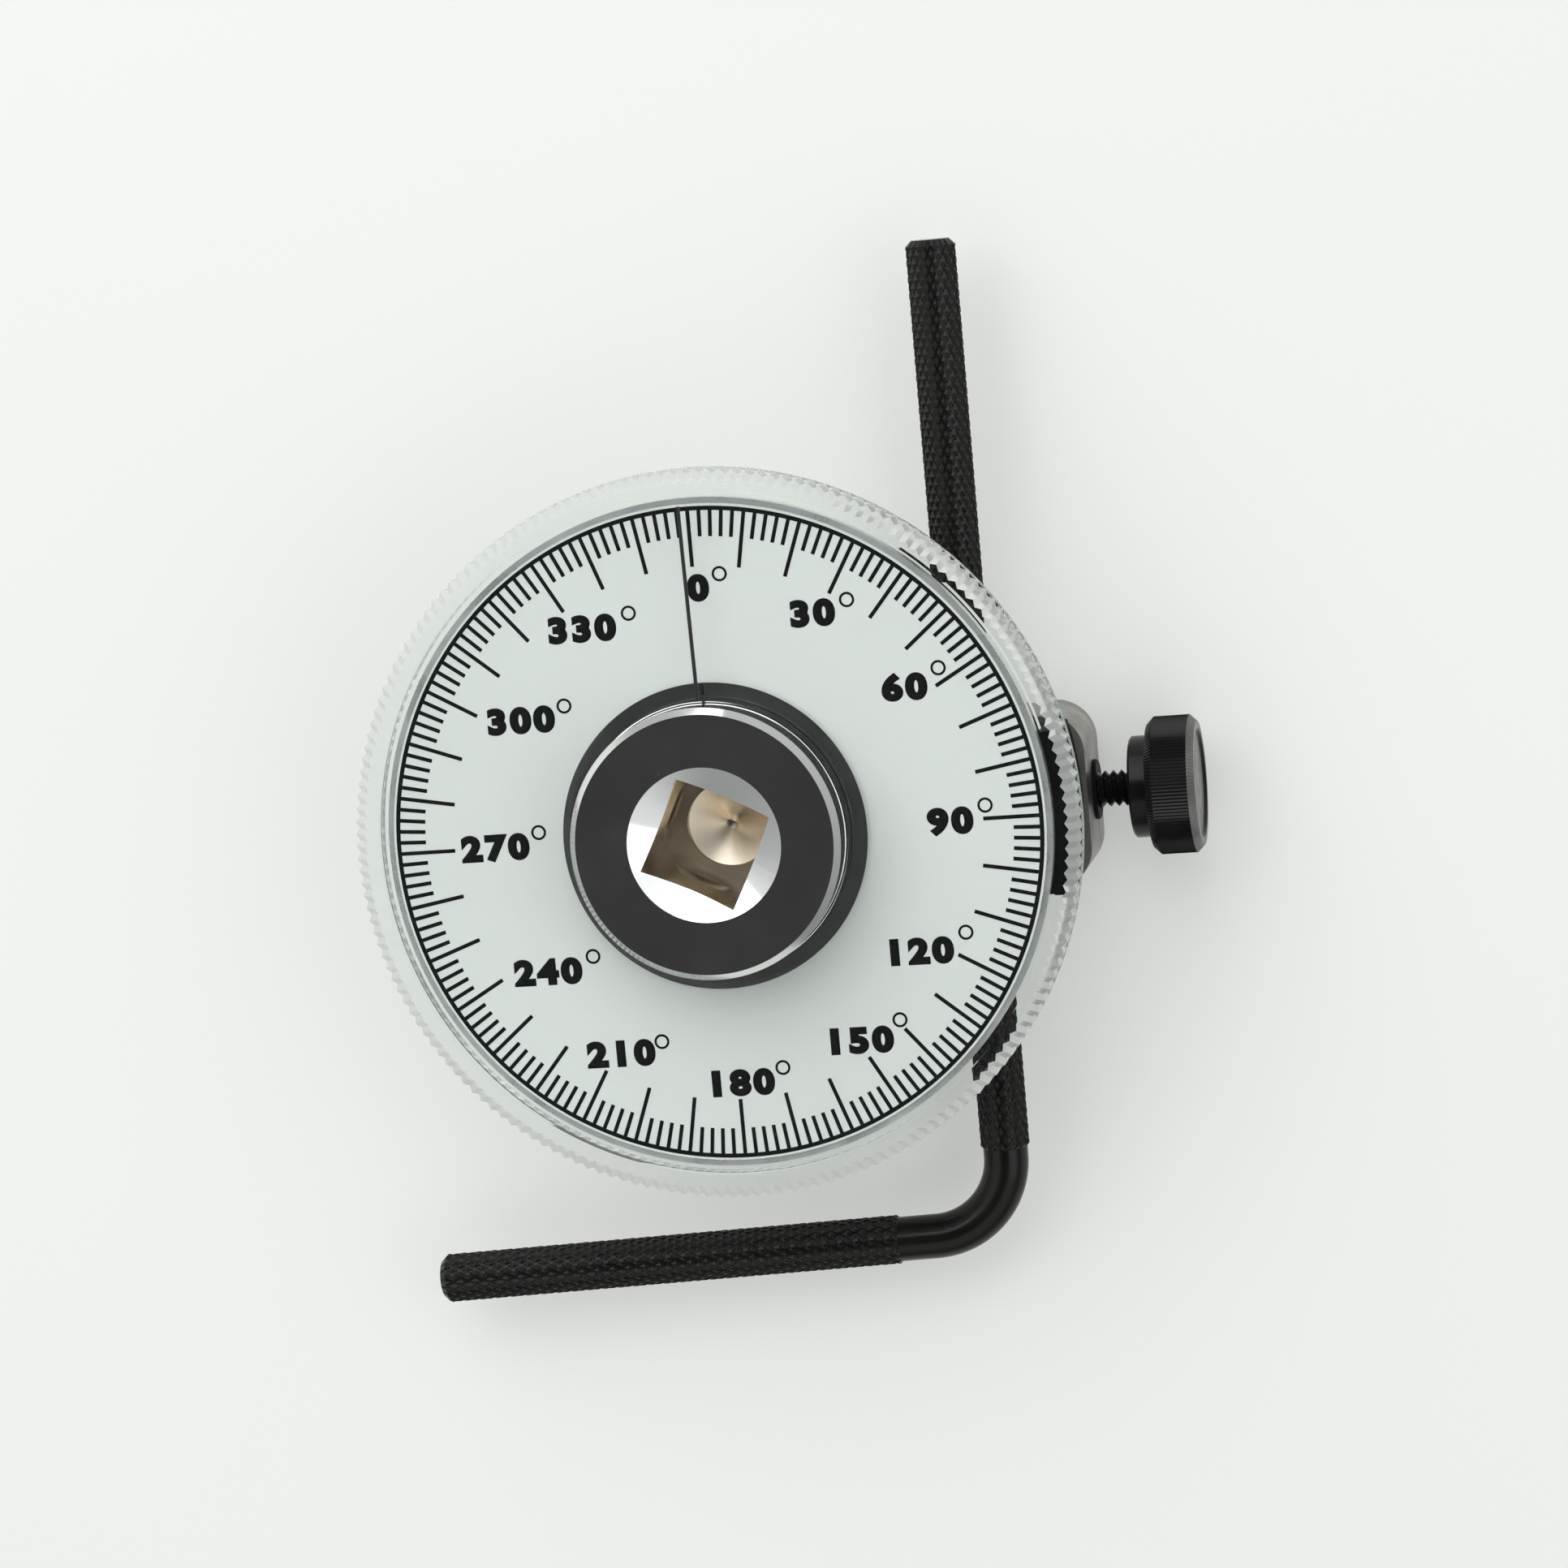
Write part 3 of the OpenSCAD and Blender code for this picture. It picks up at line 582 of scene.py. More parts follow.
def grain_group():
    """Fine grain and slow cloud: values round one half that change over the surface."""
    found = bpy.data.node_groups.get("Surface grain")
    if found:
        return found
    wiring, entry, leave = new_shader_group(
        "Surface grain", [("Fine scale", 4000.0), ("Cloud scale", 150.0)],
        [("Fine", "Float"), ("Cloud", "Float")])
    coords = wiring.add("ShaderNodeTexCoord").outputs["Object"]
    for label, source, detail in (("Fine", "Fine scale", 3.0), ("Cloud", "Cloud scale", 4.0)):
        noise = wiring.add("ShaderNodeTexNoise", {
            "Vector": coords, "Scale": entry.outputs[source], "Detail": detail})
        wiring.feed(leave.inputs[label], noise.outputs[0])
    return wiring.tree


def speck_group():
    """Scattered specks: one inside a speck and nought elsewhere."""
    found = bpy.data.node_groups.get("Scattered specks")
    if found:
        return found
    wiring, entry, leave = new_shader_group(
        "Scattered specks", [("Scale", 900.0), ("Size", 0.12)], [("Mask", "Float")])
    coords = wiring.add("ShaderNodeTexCoord").outputs["Object"]
    cells = wiring.add("ShaderNodeTexVoronoi", {"Vector": coords, "Scale": entry.outputs["Scale"]})
    near = wiring.math("LESS_THAN", cells.outputs["Distance"], entry.outputs["Size"])
    tint = wiring.add("ShaderNodeSeparateColor", {0: cells.outputs["Color"]})
    chosen = wiring.math("GREATER_THAN", tint.outputs[0], SPECKLESS)
    wiring.feed(leave.inputs["Mask"], wiring.math("MULTIPLY", near, chosen))
    return wiring.tree


def turned_group():
    """Fine rings left by turning about the drive axis."""
    found = bpy.data.node_groups.get("Turned rings")
    if found:
        return found
    wiring, entry, leave = new_shader_group("Turned rings", [("Scale", 9000.0)], [("Rings", "Float")])
    coords = wiring.add("ShaderNodeTexCoord").outputs["Object"]
    flat = wiring.vector("MULTIPLY", coords, (1.0, 1.0, 0.0))
    radius = wiring.vector("LENGTH", flat)
    line = wiring.add("ShaderNodeCombineXYZ", {
        "X": wiring.math("MULTIPLY", radius, entry.outputs["Scale"])})
    noise = wiring.add("ShaderNodeTexNoise", {"Vector": line.outputs[0], "Scale": 1.0, "Detail": 2.0})
    wiring.feed(leave.inputs["Rings"], noise.outputs[0])
    return wiring.tree


class Finish:
    """One procedural material: a Principled shader with grain on its colour, roughness and bump."""

    def __init__(self, name, colour, roughness, fine, cloud, metallic=0.0, specular=0.5):
        self.material = bpy.data.materials.new(name)
        self.material.use_nodes = True
        self.wiring = Wiring(self.material.node_tree)
        nodes = self.material.node_tree.nodes
        self.shader = next(node for node in nodes if node.type == "BSDF_PRINCIPLED")
        self.output = next(node for node in nodes if node.type == "OUTPUT_MATERIAL")
        self.colour = (*colour, 1.0)
        self.roughness = roughness
        looks = {"Base Color": self.colour, "Metallic": metallic, "Roughness": roughness,
                 "Specular IOR Level": specular}
        for label, value in looks.items():
            self.shader.inputs[label].default_value = value
        self.grain = self.wiring.add(
            "ShaderNodeGroup", {"Fine scale": fine, "Cloud scale": cloud}, node_tree=grain_group())

    def spread(self, source, low, high):
        """Maps a value round one half onto the range from low to high."""
        span = self.wiring.add("ShaderNodeMapRange", {
            "Value": source, "From Min": NOISE_LOW, "From Max": NOISE_HIGH, "To Min": low, "To Max": high})
        return span.outputs[0]

    def vary_roughness(self, amount):
        """Roughness that changes slowly over the surface."""
        self.roughness = self.spread(
            self.grain.outputs["Cloud"], self.roughness - amount, self.roughness + amount)
        self.wiring.feed(self.shader.inputs["Roughness"], self.roughness)
        return self

    def roughen(self, amount, mask):
        """Adds to the roughness where the mask is one."""
        self.roughness = self.wiring.math("MULTIPLY_ADD", mask, amount, self.roughness)
        self.wiring.feed(self.shader.inputs["Roughness"], self.roughness)
        return self

    def mix_colour(self, other, mask):
        """Another colour where the mask is one."""
        mix = self.wiring.add("ShaderNodeMix", data_type="RGBA")
        first, second = (socket for socket in mix.inputs if socket.type == "RGBA")
        self.wiring.feed(mix.inputs["Factor"], mask)
        self.wiring.feed(first, self.colour)
        self.wiring.feed(second, (*other, 1.0))
        self.colour = next(socket for socket in mix.outputs if socket.type == "RGBA")
        self.wiring.feed(self.shader.inputs["Base Color"], self.colour)
        return self

    def vary_colour(self, other):
        """Clouds of another colour."""
        return self.mix_colour(other, self.spread(self.grain.outputs["Cloud"], 0.0, 1.0))

    def bump(self, strength, distance, source=None):
        """Bumps from the fine grain or from another source."""
        raised = self.wiring.add("ShaderNodeBump", {
            "Strength": strength, "Distance": distance, "Height": source or self.grain.outputs["Fine"]})
        self.wiring.feed(self.shader.inputs["Normal"], raised.outputs[0])
        return self

    def group(self, tree, **values):
        """First output of a shader group with its own values."""
        return self.wiring.add("ShaderNodeGroup", values, node_tree=tree).outputs[0]

    def blend(self, share, other):
        """Surface that is another shader by a share."""
        mix = self.wiring.add("ShaderNodeMixShader", {
            0: share, 1: self.shader.outputs[0], 2: other.outputs[0]})
        self.wiring.feed(self.output.inputs["Surface"], mix.outputs[0])

    def paint(self, *labels):
        """Gives solids this finish."""
        for label in labels:
            slots = NODES[label].data.materials
            slots.clear()
            slots.append(self.material)


def clouded(colour):
    """Colour of the clouds on a pale surface."""
    return [part * CLOUD_TONE for part in colour]


def acrylic_material(name, colour, roughness, clearness, shade):
    """Acrylic, clear or frosted. Lamps shine through it, so that the dial under it stays lit."""
    finish = Finish(name, colour, roughness, fine=2500.0, cloud=60.0)
    finish.shader.inputs["Transmission Weight"].default_value = clearness
    finish.shader.inputs["IOR"].default_value = ACRYLIC_IOR
    finish.vary_roughness(roughness * ACRYLIC_SPREAD)
    through = finish.wiring.add("ShaderNodeBsdfTransparent", {"Color": (*shade, 1.0)})
    rays = finish.wiring.add("ShaderNodeLightPath")
    finish.blend(rays.outputs["Is Shadow Ray"], through)
    return finish.material


class GAUGE_OT_stage(bpy.types.Operator):
    """Adds floor, lights, world and camera"""

    bl_idname = "gauge.stage"
    bl_label = "Stage"

    def execute(self, context):
        settings = context.scene.gauge_stage
        self.floor(settings)
        self.lamp("key_light", KEY_PLACE, KEY_SIZE, settings.key_power)
        self.lamp("fill_light", FILL_PLACE, FILL_SIZE, settings.fill_power)
        self.sky(context.scene, settings)
        self.camera(context.scene, settings)
        context.scene.view_settings.view_transform = "Standard"
        return {"FINISHED"}

    def floor(self, settings):
        form = bmesh.new()
        bmesh.ops.create_grid(form, x_segments=1, y_segments=1, size=FLOOR_REACH)
        mesh = finished_mesh("floor", form)
        mesh.transform(Matrix.Translation((0.0, 0.0, CAD_BOX[0][2] - FLOOR_GAP)))
        colour = settings.floor_colour
        finish = Finish("pale table", colour, roughness=0.6, fine=900.0, cloud=6.0, specular=0.1)
        finish.vary_colour(clouded(colour))
        self.glow(finish, settings)
        mesh.materials.append(finish.material)
        link_object("floor", mesh)

    def glow(self, finish, settings):
        """Lightens the floor's shadows where it is seen, also in metal and acrylic, and lights nothing"""
        wiring = finish.wiring
        rays = wiring.add("ShaderNodeLightPath")
        seen = wiring.math("MAXIMUM", rays.outputs["Is Camera Ray"], rays.outputs["Is Glossy Ray"])
        seen = wiring.math("MAXIMUM", seen, rays.outputs["Is Transmission Ray"])
        glow = wiring.add("ShaderNodeEmission", {"Color": (*settings.floor_colour, 1.0)})
        finish.blend(wiring.math("MULTIPLY", seen, settings.floor_glow), glow)

    def lamp(self, name, place, size, power):
        light = bpy.data.lights.new(name, "AREA")
        light.shape = "SQUARE"
        light.size = size
        light.energy = power
        lamp = link_object(name, light)
        aim = Vector(LAMP_AIM) - Vector(place)
        turn = aim.to_track_quat("-Z", "Y").to_matrix().to_4x4()
        lamp.matrix_world = Matrix.Translation(place) @ turn

    def sky(self, scene, settings):
        """Pale round the sides, brighter to the north, and dark overhead, as a polished face shows it"""
        world = bpy.data.worlds.new("studio")
        world.use_nodes = True
        scene.world = world
        wiring = Wiring(world.node_tree)
        shade = next(node for node in world.node_tree.nodes if node.type == "BACKGROUND")
        coords = wiring.add("ShaderNodeTexCoord").outputs["Generated"]
        split = wiring.add("ShaderNodeSeparateXYZ", {0: coords})
        ramp = wiring.add("ShaderNodeValToRGB", {0: split.outputs["Z"]})
        bands = ramp.color_ramp.elements
        for place, _ in SKY_BANDS[1:-1]:
            bands.new(place)
        for band, (place, level) in zip(bands, SKY_BANDS):
            band.position = place
            band.color = (*(level * part for part in SKY_TINT), 1.0)
        wiring.feed(shade.inputs["Color"], ramp.outputs[0])
        north = wiring.math("MULTIPLY_ADD", split.outputs["Y"], SKY_NORTH * settings.sky_strength,
                            settings.sky_strength)
        wiring.feed(shade.inputs["Strength"], north)

    def camera(self, scene, settings):
        """Camera fitted to the dial's marks and the drive's height"""
        lens = bpy.data.cameras.new("camera")
        lens.lens = settings.camera_lens
        lens.sensor_fit = "AUTO"
        lens.sensor_width = SENSOR_WIDTH
        lens.clip_start = NEAREST_SIGHT
        camera = link_object("camera", lens)
        turn = Euler(settings.camera_turn).to_matrix().to_4x4()
        camera.matrix_world = Matrix.Translation(Vector(settings.camera_place)) @ turn
        scene.camera = camera


class GAUGE_OT_solids(bpy.types.Operator):
    """Gives the solids their finishes"""

    bl_idname = "gauge.solids"
    bl_label = "Solids"

    def execute(self, context):
        self.spindle()
        self.dial(context.scene.gauge_dial)
        self.clamp()
        self.inner_parts()
        return {"FINISHED"}

    def dial(self, settings):
        """Satin sheet on a metal plate, and the line of the pointer disc"""
        sheet = Finish("dial sheet", settings.sheet_colour, roughness=0.34, fine=6000.0, cloud=45.0)
        sheet.vary_roughness(0.05).vary_colour(clouded(settings.sheet_colour)).bump(0.05, FINE_BUMP)
        sheet.paint("dial_face")
        plate = Finish("dial plate", (0.72, 0.74, 0.735), roughness=0.3, fine=7000.0, cloud=200.0,
                       metallic=0.85)
        plate.vary_roughness(0.08).bump(0.08, FINE_BUMP).paint("dial_plate")
        line = Finish("black fill", (0.012, 0.012, 0.013), roughness=0.5, fine=8000.0, cloud=400.0)
        line.vary_roughness(0.1).paint("pointer_line")

    def clamp(self):
        """Satin black of carrier and clamp, and the strap's dull plating"""
        black = Finish("satin black", (0.0045, 0.005, 0.0055), roughness=0.5, fine=5000.0, cloud=260.0,
                       specular=0.05)
        black.vary_roughness(0.08).vary_colour((0.007, 0.007, 0.007)).bump(0.05, COARSE_BUMP)
        black.paint("carrier", "clamp_block", "thread_bush")
        strap = Finish("dull plating", (0.31, 0.302, 0.28), roughness=0.36, fine=3500.0, cloud=320.0,
                       metallic=0.9)
        strap.vary_roughness(0.1).vary_colour((0.24, 0.233, 0.217)).bump(0.2, COARSE_BUMP)
        strap.paint("clamp_strap")

    def inner_parts(self):
        """Finishes of what is inside: ball, rings, washers, screws, rivets, bush, sleeve and pad"""
        steel = Finish("bright steel", (0.62, 0.63, 0.65), roughness=0.28, fine=6000.0, cloud=350.0,
                       metallic=1.0)
        steel.vary_roughness(0.08).bump(0.1, FINE_BUMP)
        steel.paint("detent_ball", "spacer_washer", "dial_screws", "strap_rivets", "clamp_sleeve")
        spring = Finish(SPRING_STEEL, (0.2, 0.2, 0.21), roughness=0.45, fine=6000.0, cloud=350.0,
                        metallic=0.8)
        spring.vary_roughness(0.1).bump(0.2, FINE_BUMP).paint("retaining_ring")
        oxide = Finish("screw black", (0.02, 0.02, 0.02), roughness=0.4, fine=5000.0, cloud=350.0)
        oxide.vary_roughness(0.1).bump(0.1, FINE_BUMP).paint("block_screws")
        nylon = Finish("nylon", (0.78, 0.78, 0.72), roughness=0.5, fine=4000.0, cloud=200.0)
        nylon.vary_roughness(0.08).paint("thrust_washer")
        bronze = Finish("bearing bronze", (0.6, 0.4, 0.2), roughness=0.35, fine=9000.0, cloud=300.0,
                        metallic=1.0)
        bronze.vary_roughness(0.1).bump(0.3, FINE_BUMP).paint("bushing")
        brass = Finish("brass", (0.72, 0.53, 0.25), roughness=0.3, fine=6000.0, cloud=300.0, metallic=1.0)
        brass.vary_roughness(0.08).paint("pressure_pad")
        rubber = Finish("rubber", (0.02, 0.02, 0.02), roughness=0.7, fine=7000.0, cloud=300.0)
        rubber.vary_roughness(0.1).bump(0.3, COARSE_BUMP).paint("friction_ring")

    def spindle(self):
        """Polished chrome, warm bare metal in the socket, turning rings on the flange and a few specks"""
        chrome = Finish("polished chrome", (0.78, 0.79, 0.785), roughness=0.09, fine=7000.0, cloud=120.0,
                        metallic=1.0)
        wiring = chrome.wiring
        place = wiring.add("ShaderNodeTexCoord").outputs["Object"]
        split = wiring.add("ShaderNodeSeparateXYZ", {0: place})
        radius = wiring.vector("LENGTH", wiring.vector("MULTIPLY", place, (1.0, 1.0, 0.0)))
        depth = wiring.math("SUBTRACT", HEAD_TOP, split.outputs["Z"])
        inside = wiring.math("MULTIPLY", wiring.math("GREATER_THAN", depth, SOCKET_MOUTH_DEPTH),
                             wiring.math("LESS_THAN", depth, SOCKET_DEPTH))
        socket = wiring.math("MULTIPLY", inside, wiring.math("LESS_THAN", radius, SOCKET_REACH))
        flange = wiring.math("GREATER_THAN", radius, HEAD_RADIUS)
        specks = chrome.group(speck_group(), Scale=420.0, Size=0.05)
        chrome.mix_colour((0.6, 0.6, 0.6), specks)
        chrome.mix_colour((0.6, 0.54, 0.45), socket)
        chrome.vary_roughness(0.03).roughen(0.14, socket).roughen(0.1, specks)
        rings = chrome.group(turned_group(), Scale=7000.0)
        chrome.bump(0.2, FINE_BUMP, wiring.math("MULTIPLY", rings, flange))
        chrome.paint("spindle")


class GAUGE_OT_detent_spring(bpy.types.Operator):
    """Makes the coil from a merged copy of the detent spring's solid, riding on the spindle"""

    bl_idname = "gauge.detent_spring"
    bl_label = "Detent spring"

    def execute(self, context):
        solid = NODES["detent_spring"].data
        mesh = merged_copy("detent_spring_coil", solid)
        steel = bpy.data.materials[SPRING_STEEL]
        coil = place_piece("detent_spring_coil", mesh, [steel], "spindle", ["detent_spring"])
        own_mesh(coil)
        return {"FINISHED"}


class GAUGE_OT_dial_print(bpy.types.Operator):
    """Prints ring, marks and numbers on the dial"""

    bl_idname = "gauge.dial_print"
    bl_label = "Dial print"

    # Prints ring, marks and numbers on the dial; the ring is partly painted shade at the dial's edge
    def execute(self, context):
        dial = context.scene.gauge_dial
        ink = Finish("dial ink", dial.print_colour, roughness=0.45, fine=8000.0, cloud=300.0, specular=0.05)
        ink.vary_roughness(0.08)
        middle = DIAL_TOP + dial.print_height / 2
        marks = run_tree(dial_marks_tree(), bpy.data.meshes.new("marks"), {
            "Count": dial.mark_count, "Long every": LONG_MARK_EVERY,
            "Outer radius": dial.ring_radius - dial.ring_width / 2, "Short length": dial.short_mark,
            "Long length": dial.long_mark, "Width": dial.mark_width, "Thickness": dial.print_height,
            "Height": middle, "Material": ink.material})
        inner = dial.ring_radius - dial.ring_width
        low = DIAL_TOP
        high = DIAL_TOP + dial.print_height
        outer = dial.ring_radius
        # Printed ring, partly painted shade at the dial's edge
        ring = lathe("ring", [(inner, low), (outer, low), (outer, high), (inner, high)], RING_SEGMENTS, True)
        numbers = [self.number(dial, value, *places) for value, places in NUMBER_PLACES.items()]
        mesh = join_meshes("dial_print", [marks, ring, *numbers])
        place_piece("dial_print", mesh, [ink.material], "dial")
        return {"FINISHED"}

    def number(self, dial, value, centre, ring_centre):
        """Bold number with a thin ring as its degree sign"""
        curve = bpy.data.curves.new("number", "FONT")
        curve.body = str(value)
        curve.size = dial.number_size
        curve.bevel_depth = dial.number_weight
        curve.bevel_resolution = 0
        curve.space_character = NUMBER_SPACING
        curve.resolution_u = STEPS_PER_CURVE
        mesh = evaluated_mesh(link_object("number", curve))
        across = [vert.co.x for vert in mesh.vertices]
        up = [vert.co.y for vert in mesh.vertices]
        shift = Vector(((min(across) + max(across)) / 2, (min(up) + max(up)) / 2, -dial.number_weight))
        flatten = dial.print_height / (2 * dial.number_weight)
        stretch = Matrix.Diagonal((dial.number_stretch, 1.0, flatten, 1.0))
        at = Vector((centre[0] * MM, centre[1] * MM, DIAL_TOP))
        mesh.transform(Matrix.Translation(at) @ stretch @ Matrix.Translation(-shift))
        outer = dial.sign_radius
        inner = outer - dial.sign_width
        high = dial.print_height
        sign = lathe("sign", [(inner, 0.0), (outer, 0.0), (outer, high), (inner, high)], SIGN_SEGMENTS, True)
        sign.transform(Matrix.Translation((ring_centre[0] * MM, ring_centre[1] * MM, DIAL_TOP)))
        return join_meshes("number", [mesh, sign])


class GAUGE_OT_pointer_disc(bpy.types.Operator):
    """Makes the clear disc with its knurled rim"""

    bl_idname = "gauge.pointer_disc"
    bl_label = "Pointer disc"

    def execute(self, context):
        disc = context.scene.gauge_disc
        rim = DISC_HIGH.y
        top = DISC_HIGH.z
        foot = DISC_LOW.z
        under = top - DISC_THICKNESS
        skirt = PLATE_RADIUS + SKIRT_GAP
        inner = rim - disc.rim_chamfer
        lip = foot + disc.foot_chamfer + disc.foot_lip
        before = [(DISC_BORE, under), (skirt, under), (skirt, foot), (rim - disc.foot_chamfer, foot)]
        before += [(rim, foot + disc.foot_chamfer), (rim, lip)]
        knurled = [(rim, lip + DISC_EDGE), (rim, top - disc.rim_chamfer), (inner, top)]
        after = [(inner - disc.tooth_depth - DISC_EDGE, top), (DISC_BORE + DISC_EDGE, top)]
        after.append((DISC_BORE, top - DISC_EDGE))
        weights = [0.0] * len(before) + [1.0] * len(knurled) + [0.0] * len(after)
        segments = disc.tooth_count * STEPS_PER_TOOTH
        mesh = lathe("pointer_disc_clear", before + knurled + after, segments, True, weights)
        clear = acrylic_material(
            "clear acrylic", disc.clear_colour, roughness=0.02, clearness=1.0, shade=CLEAR_SHADE)
        frosted = acrylic_material(
            "frosted acrylic", disc.frost_colour, roughness=0.36, clearness=0.55, shade=disc.frost_colour)
        mesh = run_tree(rim_knurl_tree(), mesh, {
            "Teeth": disc.tooth_count, "Depth": disc.tooth_depth, "Material": clear})
        cut = mesh.attributes["weight"].data
        for face in mesh.polygons:
            face.material_index = int(all(cut[i].value > 0.5 for i in face.vertices))
        smooth(mesh, DISC_SHARP)
        place_piece("pointer_disc_clear", mesh, [clear, frosted], "pointer",
                    ["pointer_disc"])
        return {"FINISHED"}


class GAUGE_OT_reaction_rod(bpy.types.Operator):
    """Makes the bent rod with its diamond knurl"""

    bl_idname = "gauge.reaction_rod"
    bl_label = "Reaction rod"

    def execute(self, context):
        rod = context.scene.gauge_rod
        radius = (ROD_HIGH.z - ROD_LOW.z) / 2
        mesh = self.sweep(rod, self.rows(rod, radius))
        oxide = Finish("black oxide", rod.oxide_colour, roughness=0.18, fine=5000.0, cloud=240.0,
                       specular=0.2)
        oxide.vary_roughness(0.06).vary_colour((0.009, 0.0085, 0.0076)).bump(0.1, COARSE_BUMP)
        mesh = run_tree(diamond_knurl_tree(), mesh, {
            "Diamonds round": rod.diamonds_round, "Flat top": DIAMOND_FLAT, "Depth": rod.diamond_depth,
            "Material": oxide.material})
        smooth(mesh, ROD_SHARP)
        place_piece("reaction_rod_knurled", mesh, [oxide.material], "rod", ["reaction_rod"])
        return {"FINISHED"}

    def rows(self, rod, radius):
        """Cross sections along the rod: centre, heading, radius, place in diamonds and knurl weight"""
        straight = ROD_HIGH.y + rod.bend_start
        turn = rod.bend_radius * rod.bend_angle
        total = straight + turn + rod.short_arm
        step = radius - rod.plain_radius
        plain_from = straight - rod.plain_long
        plain_to = straight + turn + rod.plain_short
        rows = [(*self.axis(rod, radius, 0.0), radius - rod.chamfer, 0.0, 0.0)]
        for first, last in ((rod.chamfer, plain_from - step), (plain_to + step, total - rod.chamfer)):
            count = STEPS_PER_DIAMOND * round((last - first) / rod.diamond_pitch)
            for i in range(count + 1):
                s = first + (last - first) * i / count
                rows.append((*self.axis(rod, radius, s), radius, i / STEPS_PER_DIAMOND, 1.0))
            if first < plain_from:
                for s in steps(plain_from, plain_to, BEND_STEP):
                    rows.append((*self.axis(rod, radius, s), rod.plain_radius, 0.0, 0.0))
        rows.append((*self.axis(rod, radius, total), radius - rod.chamfer, 0.0, 0.0))
        return rows

    def axis(self, rod, radius, s):
        """Centre of the rod and its heading at a distance from the long arm's end"""
        x = ROD_HIGH.x - radius
        along = s - ROD_HIGH.y - rod.bend_start
        if along <= 0.0:
            return Vector((x, ROD_HIGH.y - s, ROD_AXIS_Z)), 0.0
        heading = min(along / rod.bend_radius, rod.bend_angle)
        past = along - rod.bend_radius * heading
        out = Vector((math.cos(heading), -math.sin(heading), 0.0))
        ahead = Vector((-math.sin(heading), -math.cos(heading), 0.0))
        middle = Vector((x - rod.bend_radius, -rod.bend_start, ROD_AXIS_Z))
        return middle + out * rod.bend_radius + ahead * past, heading

    def sweep(self, rod, rows):
        """Tube through the rows, closed at both ends, with the knurl's attributes"""
        count = rod.diamonds_round * STEPS_PER_DIAMOND
        form = bmesh.new()
        layers = {label: form.verts.layers.float.new(label) for label in ("round", "along", "weight")}
        outward = form.verts.layers.float_vector.new("outward")
        rings = []
        for centre, heading, radius, along, weight in rows:
            side = Vector((math.cos(heading), -math.sin(heading), 0.0))
            ring = []
            for i in range(count):
                a = math.tau * i / count
                out = side * math.cos(a) + Vector((0.0, 0.0, math.sin(a)))
                vert = form.verts.new(centre + out * radius)
                vert[outward] = out
                vert[layers["round"]] = i / count
                vert[layers["along"]] = along
                vert[layers["weight"]] = weight
                ring.append(vert)
            rings.append(ring)
        for low, high in zip(rings, rings[1:]):
            for i in range(count):
                n = (i + 1) % count
                form.faces.new((low[i], low[n], high[n], high[i]))
        form.faces.new(rings[0])
        form.faces.new(reversed(rings[-1]))
        bmesh.ops.recalc_face_normals(form, faces=form.faces)
        return finished_mesh("reaction_rod_knurled", form)


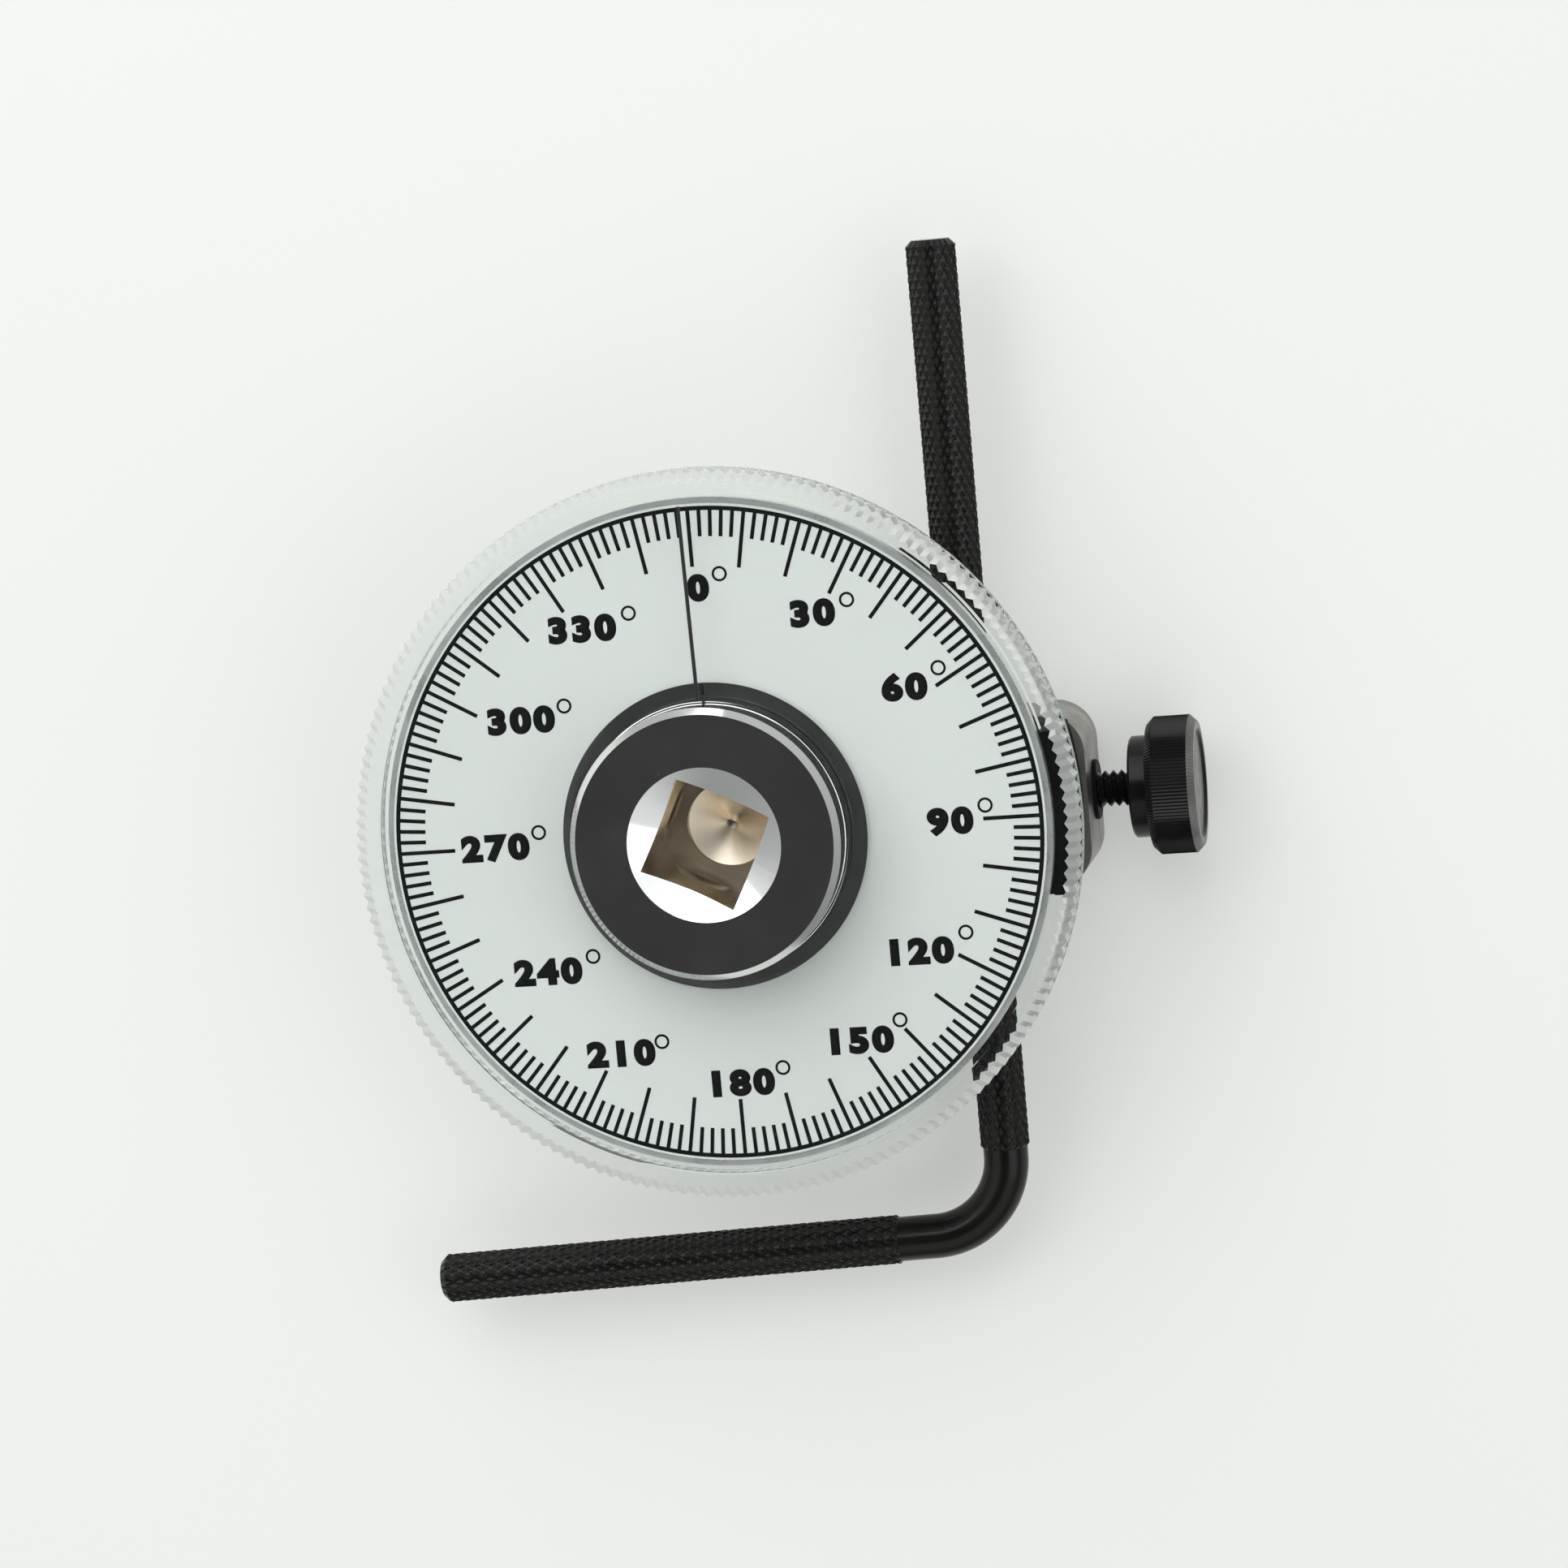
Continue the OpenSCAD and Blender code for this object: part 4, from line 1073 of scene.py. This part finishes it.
class GAUGE_OT_thumbscrew(bpy.types.Operator):
    """Makes the thumbscrew with its thread and knurled head"""

    bl_idname = "gauge.thumbscrew"
    bl_label = "Thumbscrew"

    def execute(self, context):
        screw = context.scene.gauge_screw
        tip = SCREW_LOW.x
        end = SCREW_HIGH.x - tip
        radius = (SCREW_HIGH.z - SCREW_LOW.z) / 2
        collar = screw.collar_start - tip
        black = Finish("knob black", screw.knob_colour, roughness=0.22, fine=5000.0, cloud=300.0,
                       specular=0.18)
        black.vary_roughness(0.06).vary_colour((0.009, 0.009, 0.0086)).bump(0.1, COARSE_BUMP)
        # Painted highlight: the bevel round the head's end face gets a lighter metal than the black knob,
        # standing in for its highlight
        edge = Finish("worn bevel", (0.22, 0.22, 0.213), roughness=0.3, fine=5000.0, cloud=300.0,
                      metallic=1.0)
        edge.vary_roughness(0.08).vary_colour((0.15, 0.15, 0.146))
        thread = self.thread(screw, collar, black.material)
        knob = self.knob(screw, collar, radius, end, black.material)
        mesh = join_meshes("thumbscrew_knurled", [thread, knob])
        turn = Matrix.Rotation(math.pi / 2, 4, "Y")
        mesh.transform(Matrix.Translation((tip, 0.0, SCREW_AXIS_Z)) @ turn)
        smooth(mesh, SCREW_SHARP)
        place_piece("thumbscrew_knurled", mesh, [black.material, edge.material], "thumbscrew",
                    ["thumbscrew"])
        return {"FINISHED"}

    def thread(self, screw, collar, material):
        """Stud with its thread, cut from just behind the tip up to the collar"""
        tip = screw.thread_depth
        profile = [(0.0, 0.0), (screw.stud_radius - tip, 0.0)]
        weights = [0.0, 0.0]
        for z in steps(tip, collar, screw.thread_pitch / STEPS_PER_PITCH):
            profile.append((screw.stud_radius, z))
            run = min((z - tip) / THREAD_RUN_IN, (collar - z) / THREAD_RUN_OUT)
            weights.append(max(0.0, min(1.0, run)))
        profile.append((0.0, collar))
        weights.append(0.0)
        return run_tree(screw_thread_tree(), lathe("thread", profile, THREAD_SEGMENTS, False, weights), {
            "Pitch": screw.thread_pitch, "Depth": screw.thread_depth, "Material": material})

    def knob(self, screw, collar, radius, end, material):
        """Collar and knurled head, with a painted highlight as a lighter metal on the bevel round its hollow
        end face
        """
        head = screw.head_start - SCREW_LOW.x
        bevel = screw.head_bevel
        edge = KNOB_EDGE
        lower = [(0.0, collar), (screw.collar_radius - edge, collar), (screw.collar_radius, collar + edge)]
        lower += [(screw.collar_radius, head), (radius - bevel, head)]
        knurled = [(radius, head + bevel), (radius, end - bevel)]
        upper = [(radius - bevel, end), (radius - 2 * bevel, end), (radius - 2 * bevel - edge, end - edge)]
        upper.append((0.0, end - edge))
        weights = [0.0] * len(lower) + [1.0] * len(knurled) + [0.0] * len(upper)
        segments = screw.head_teeth * STEPS_PER_TOOTH
        plain = lathe("knob", lower + knurled + upper, segments, False, weights)
        mesh = run_tree(rim_knurl_tree(), plain, {
            "Teeth": screw.head_teeth, "Depth": screw.head_tooth_depth, "Material": material})
        # Faces of the end bevel take the painted highlight
        for face in mesh.polygons:
            on_bevel = end - bevel < face.center.z < end
            face.material_index = int(on_bevel and face.center.xy.length > radius - bevel)
        return mesh


OPERATORS = (
    GAUGE_OT_stage,
    GAUGE_OT_solids,
    GAUGE_OT_detent_spring,
    GAUGE_OT_dial_print,
    GAUGE_OT_pointer_disc,
    GAUGE_OT_reaction_rod,
    GAUGE_OT_thumbscrew,
)


class GAUGE_PT_panel(bpy.types.Panel):
    """Lists the gauge's settings and steps"""

    bl_idname = "GAUGE_PT_panel"
    bl_label = "Torque Angle Gauge"
    bl_space_type = "VIEW_3D"
    bl_region_type = "UI"
    bl_category = "Gauge"

    def draw(self, context):
        for attribute, settings in SETTINGS.items():
            group = getattr(context.scene, attribute)
            column = self.layout.column(align=True)
            column.label(text=settings.__doc__)
            for label in settings.__annotations__:
                column.prop(group, label)
        for operator in OPERATORS:
            self.layout.operator(operator.bl_idname)


def register():
    for settings in SETTINGS.values():
        bpy.utils.register_class(settings)
    for operator in OPERATORS:
        bpy.utils.register_class(operator)
    bpy.utils.register_class(GAUGE_PT_panel)
    for attribute, settings in SETTINGS.items():
        setattr(bpy.types.Scene, attribute, PointerProperty(type=settings))


def unregister():
    for attribute in SETTINGS:
        delattr(bpy.types.Scene, attribute)
    bpy.utils.unregister_class(GAUGE_PT_panel)
    for operator in reversed(OPERATORS):
        bpy.utils.unregister_class(operator)
    for settings in reversed(list(SETTINGS.values())):
        bpy.utils.unregister_class(settings)


def main():
    register()
    bpy.ops.gauge.stage()
    bpy.ops.gauge.solids()
    bpy.ops.gauge.detent_spring()
    bpy.ops.gauge.dial_print()
    bpy.ops.gauge.pointer_disc()
    bpy.ops.gauge.reaction_rod()
    bpy.ops.gauge.thumbscrew()


if __name__ == "__main__":
    main()
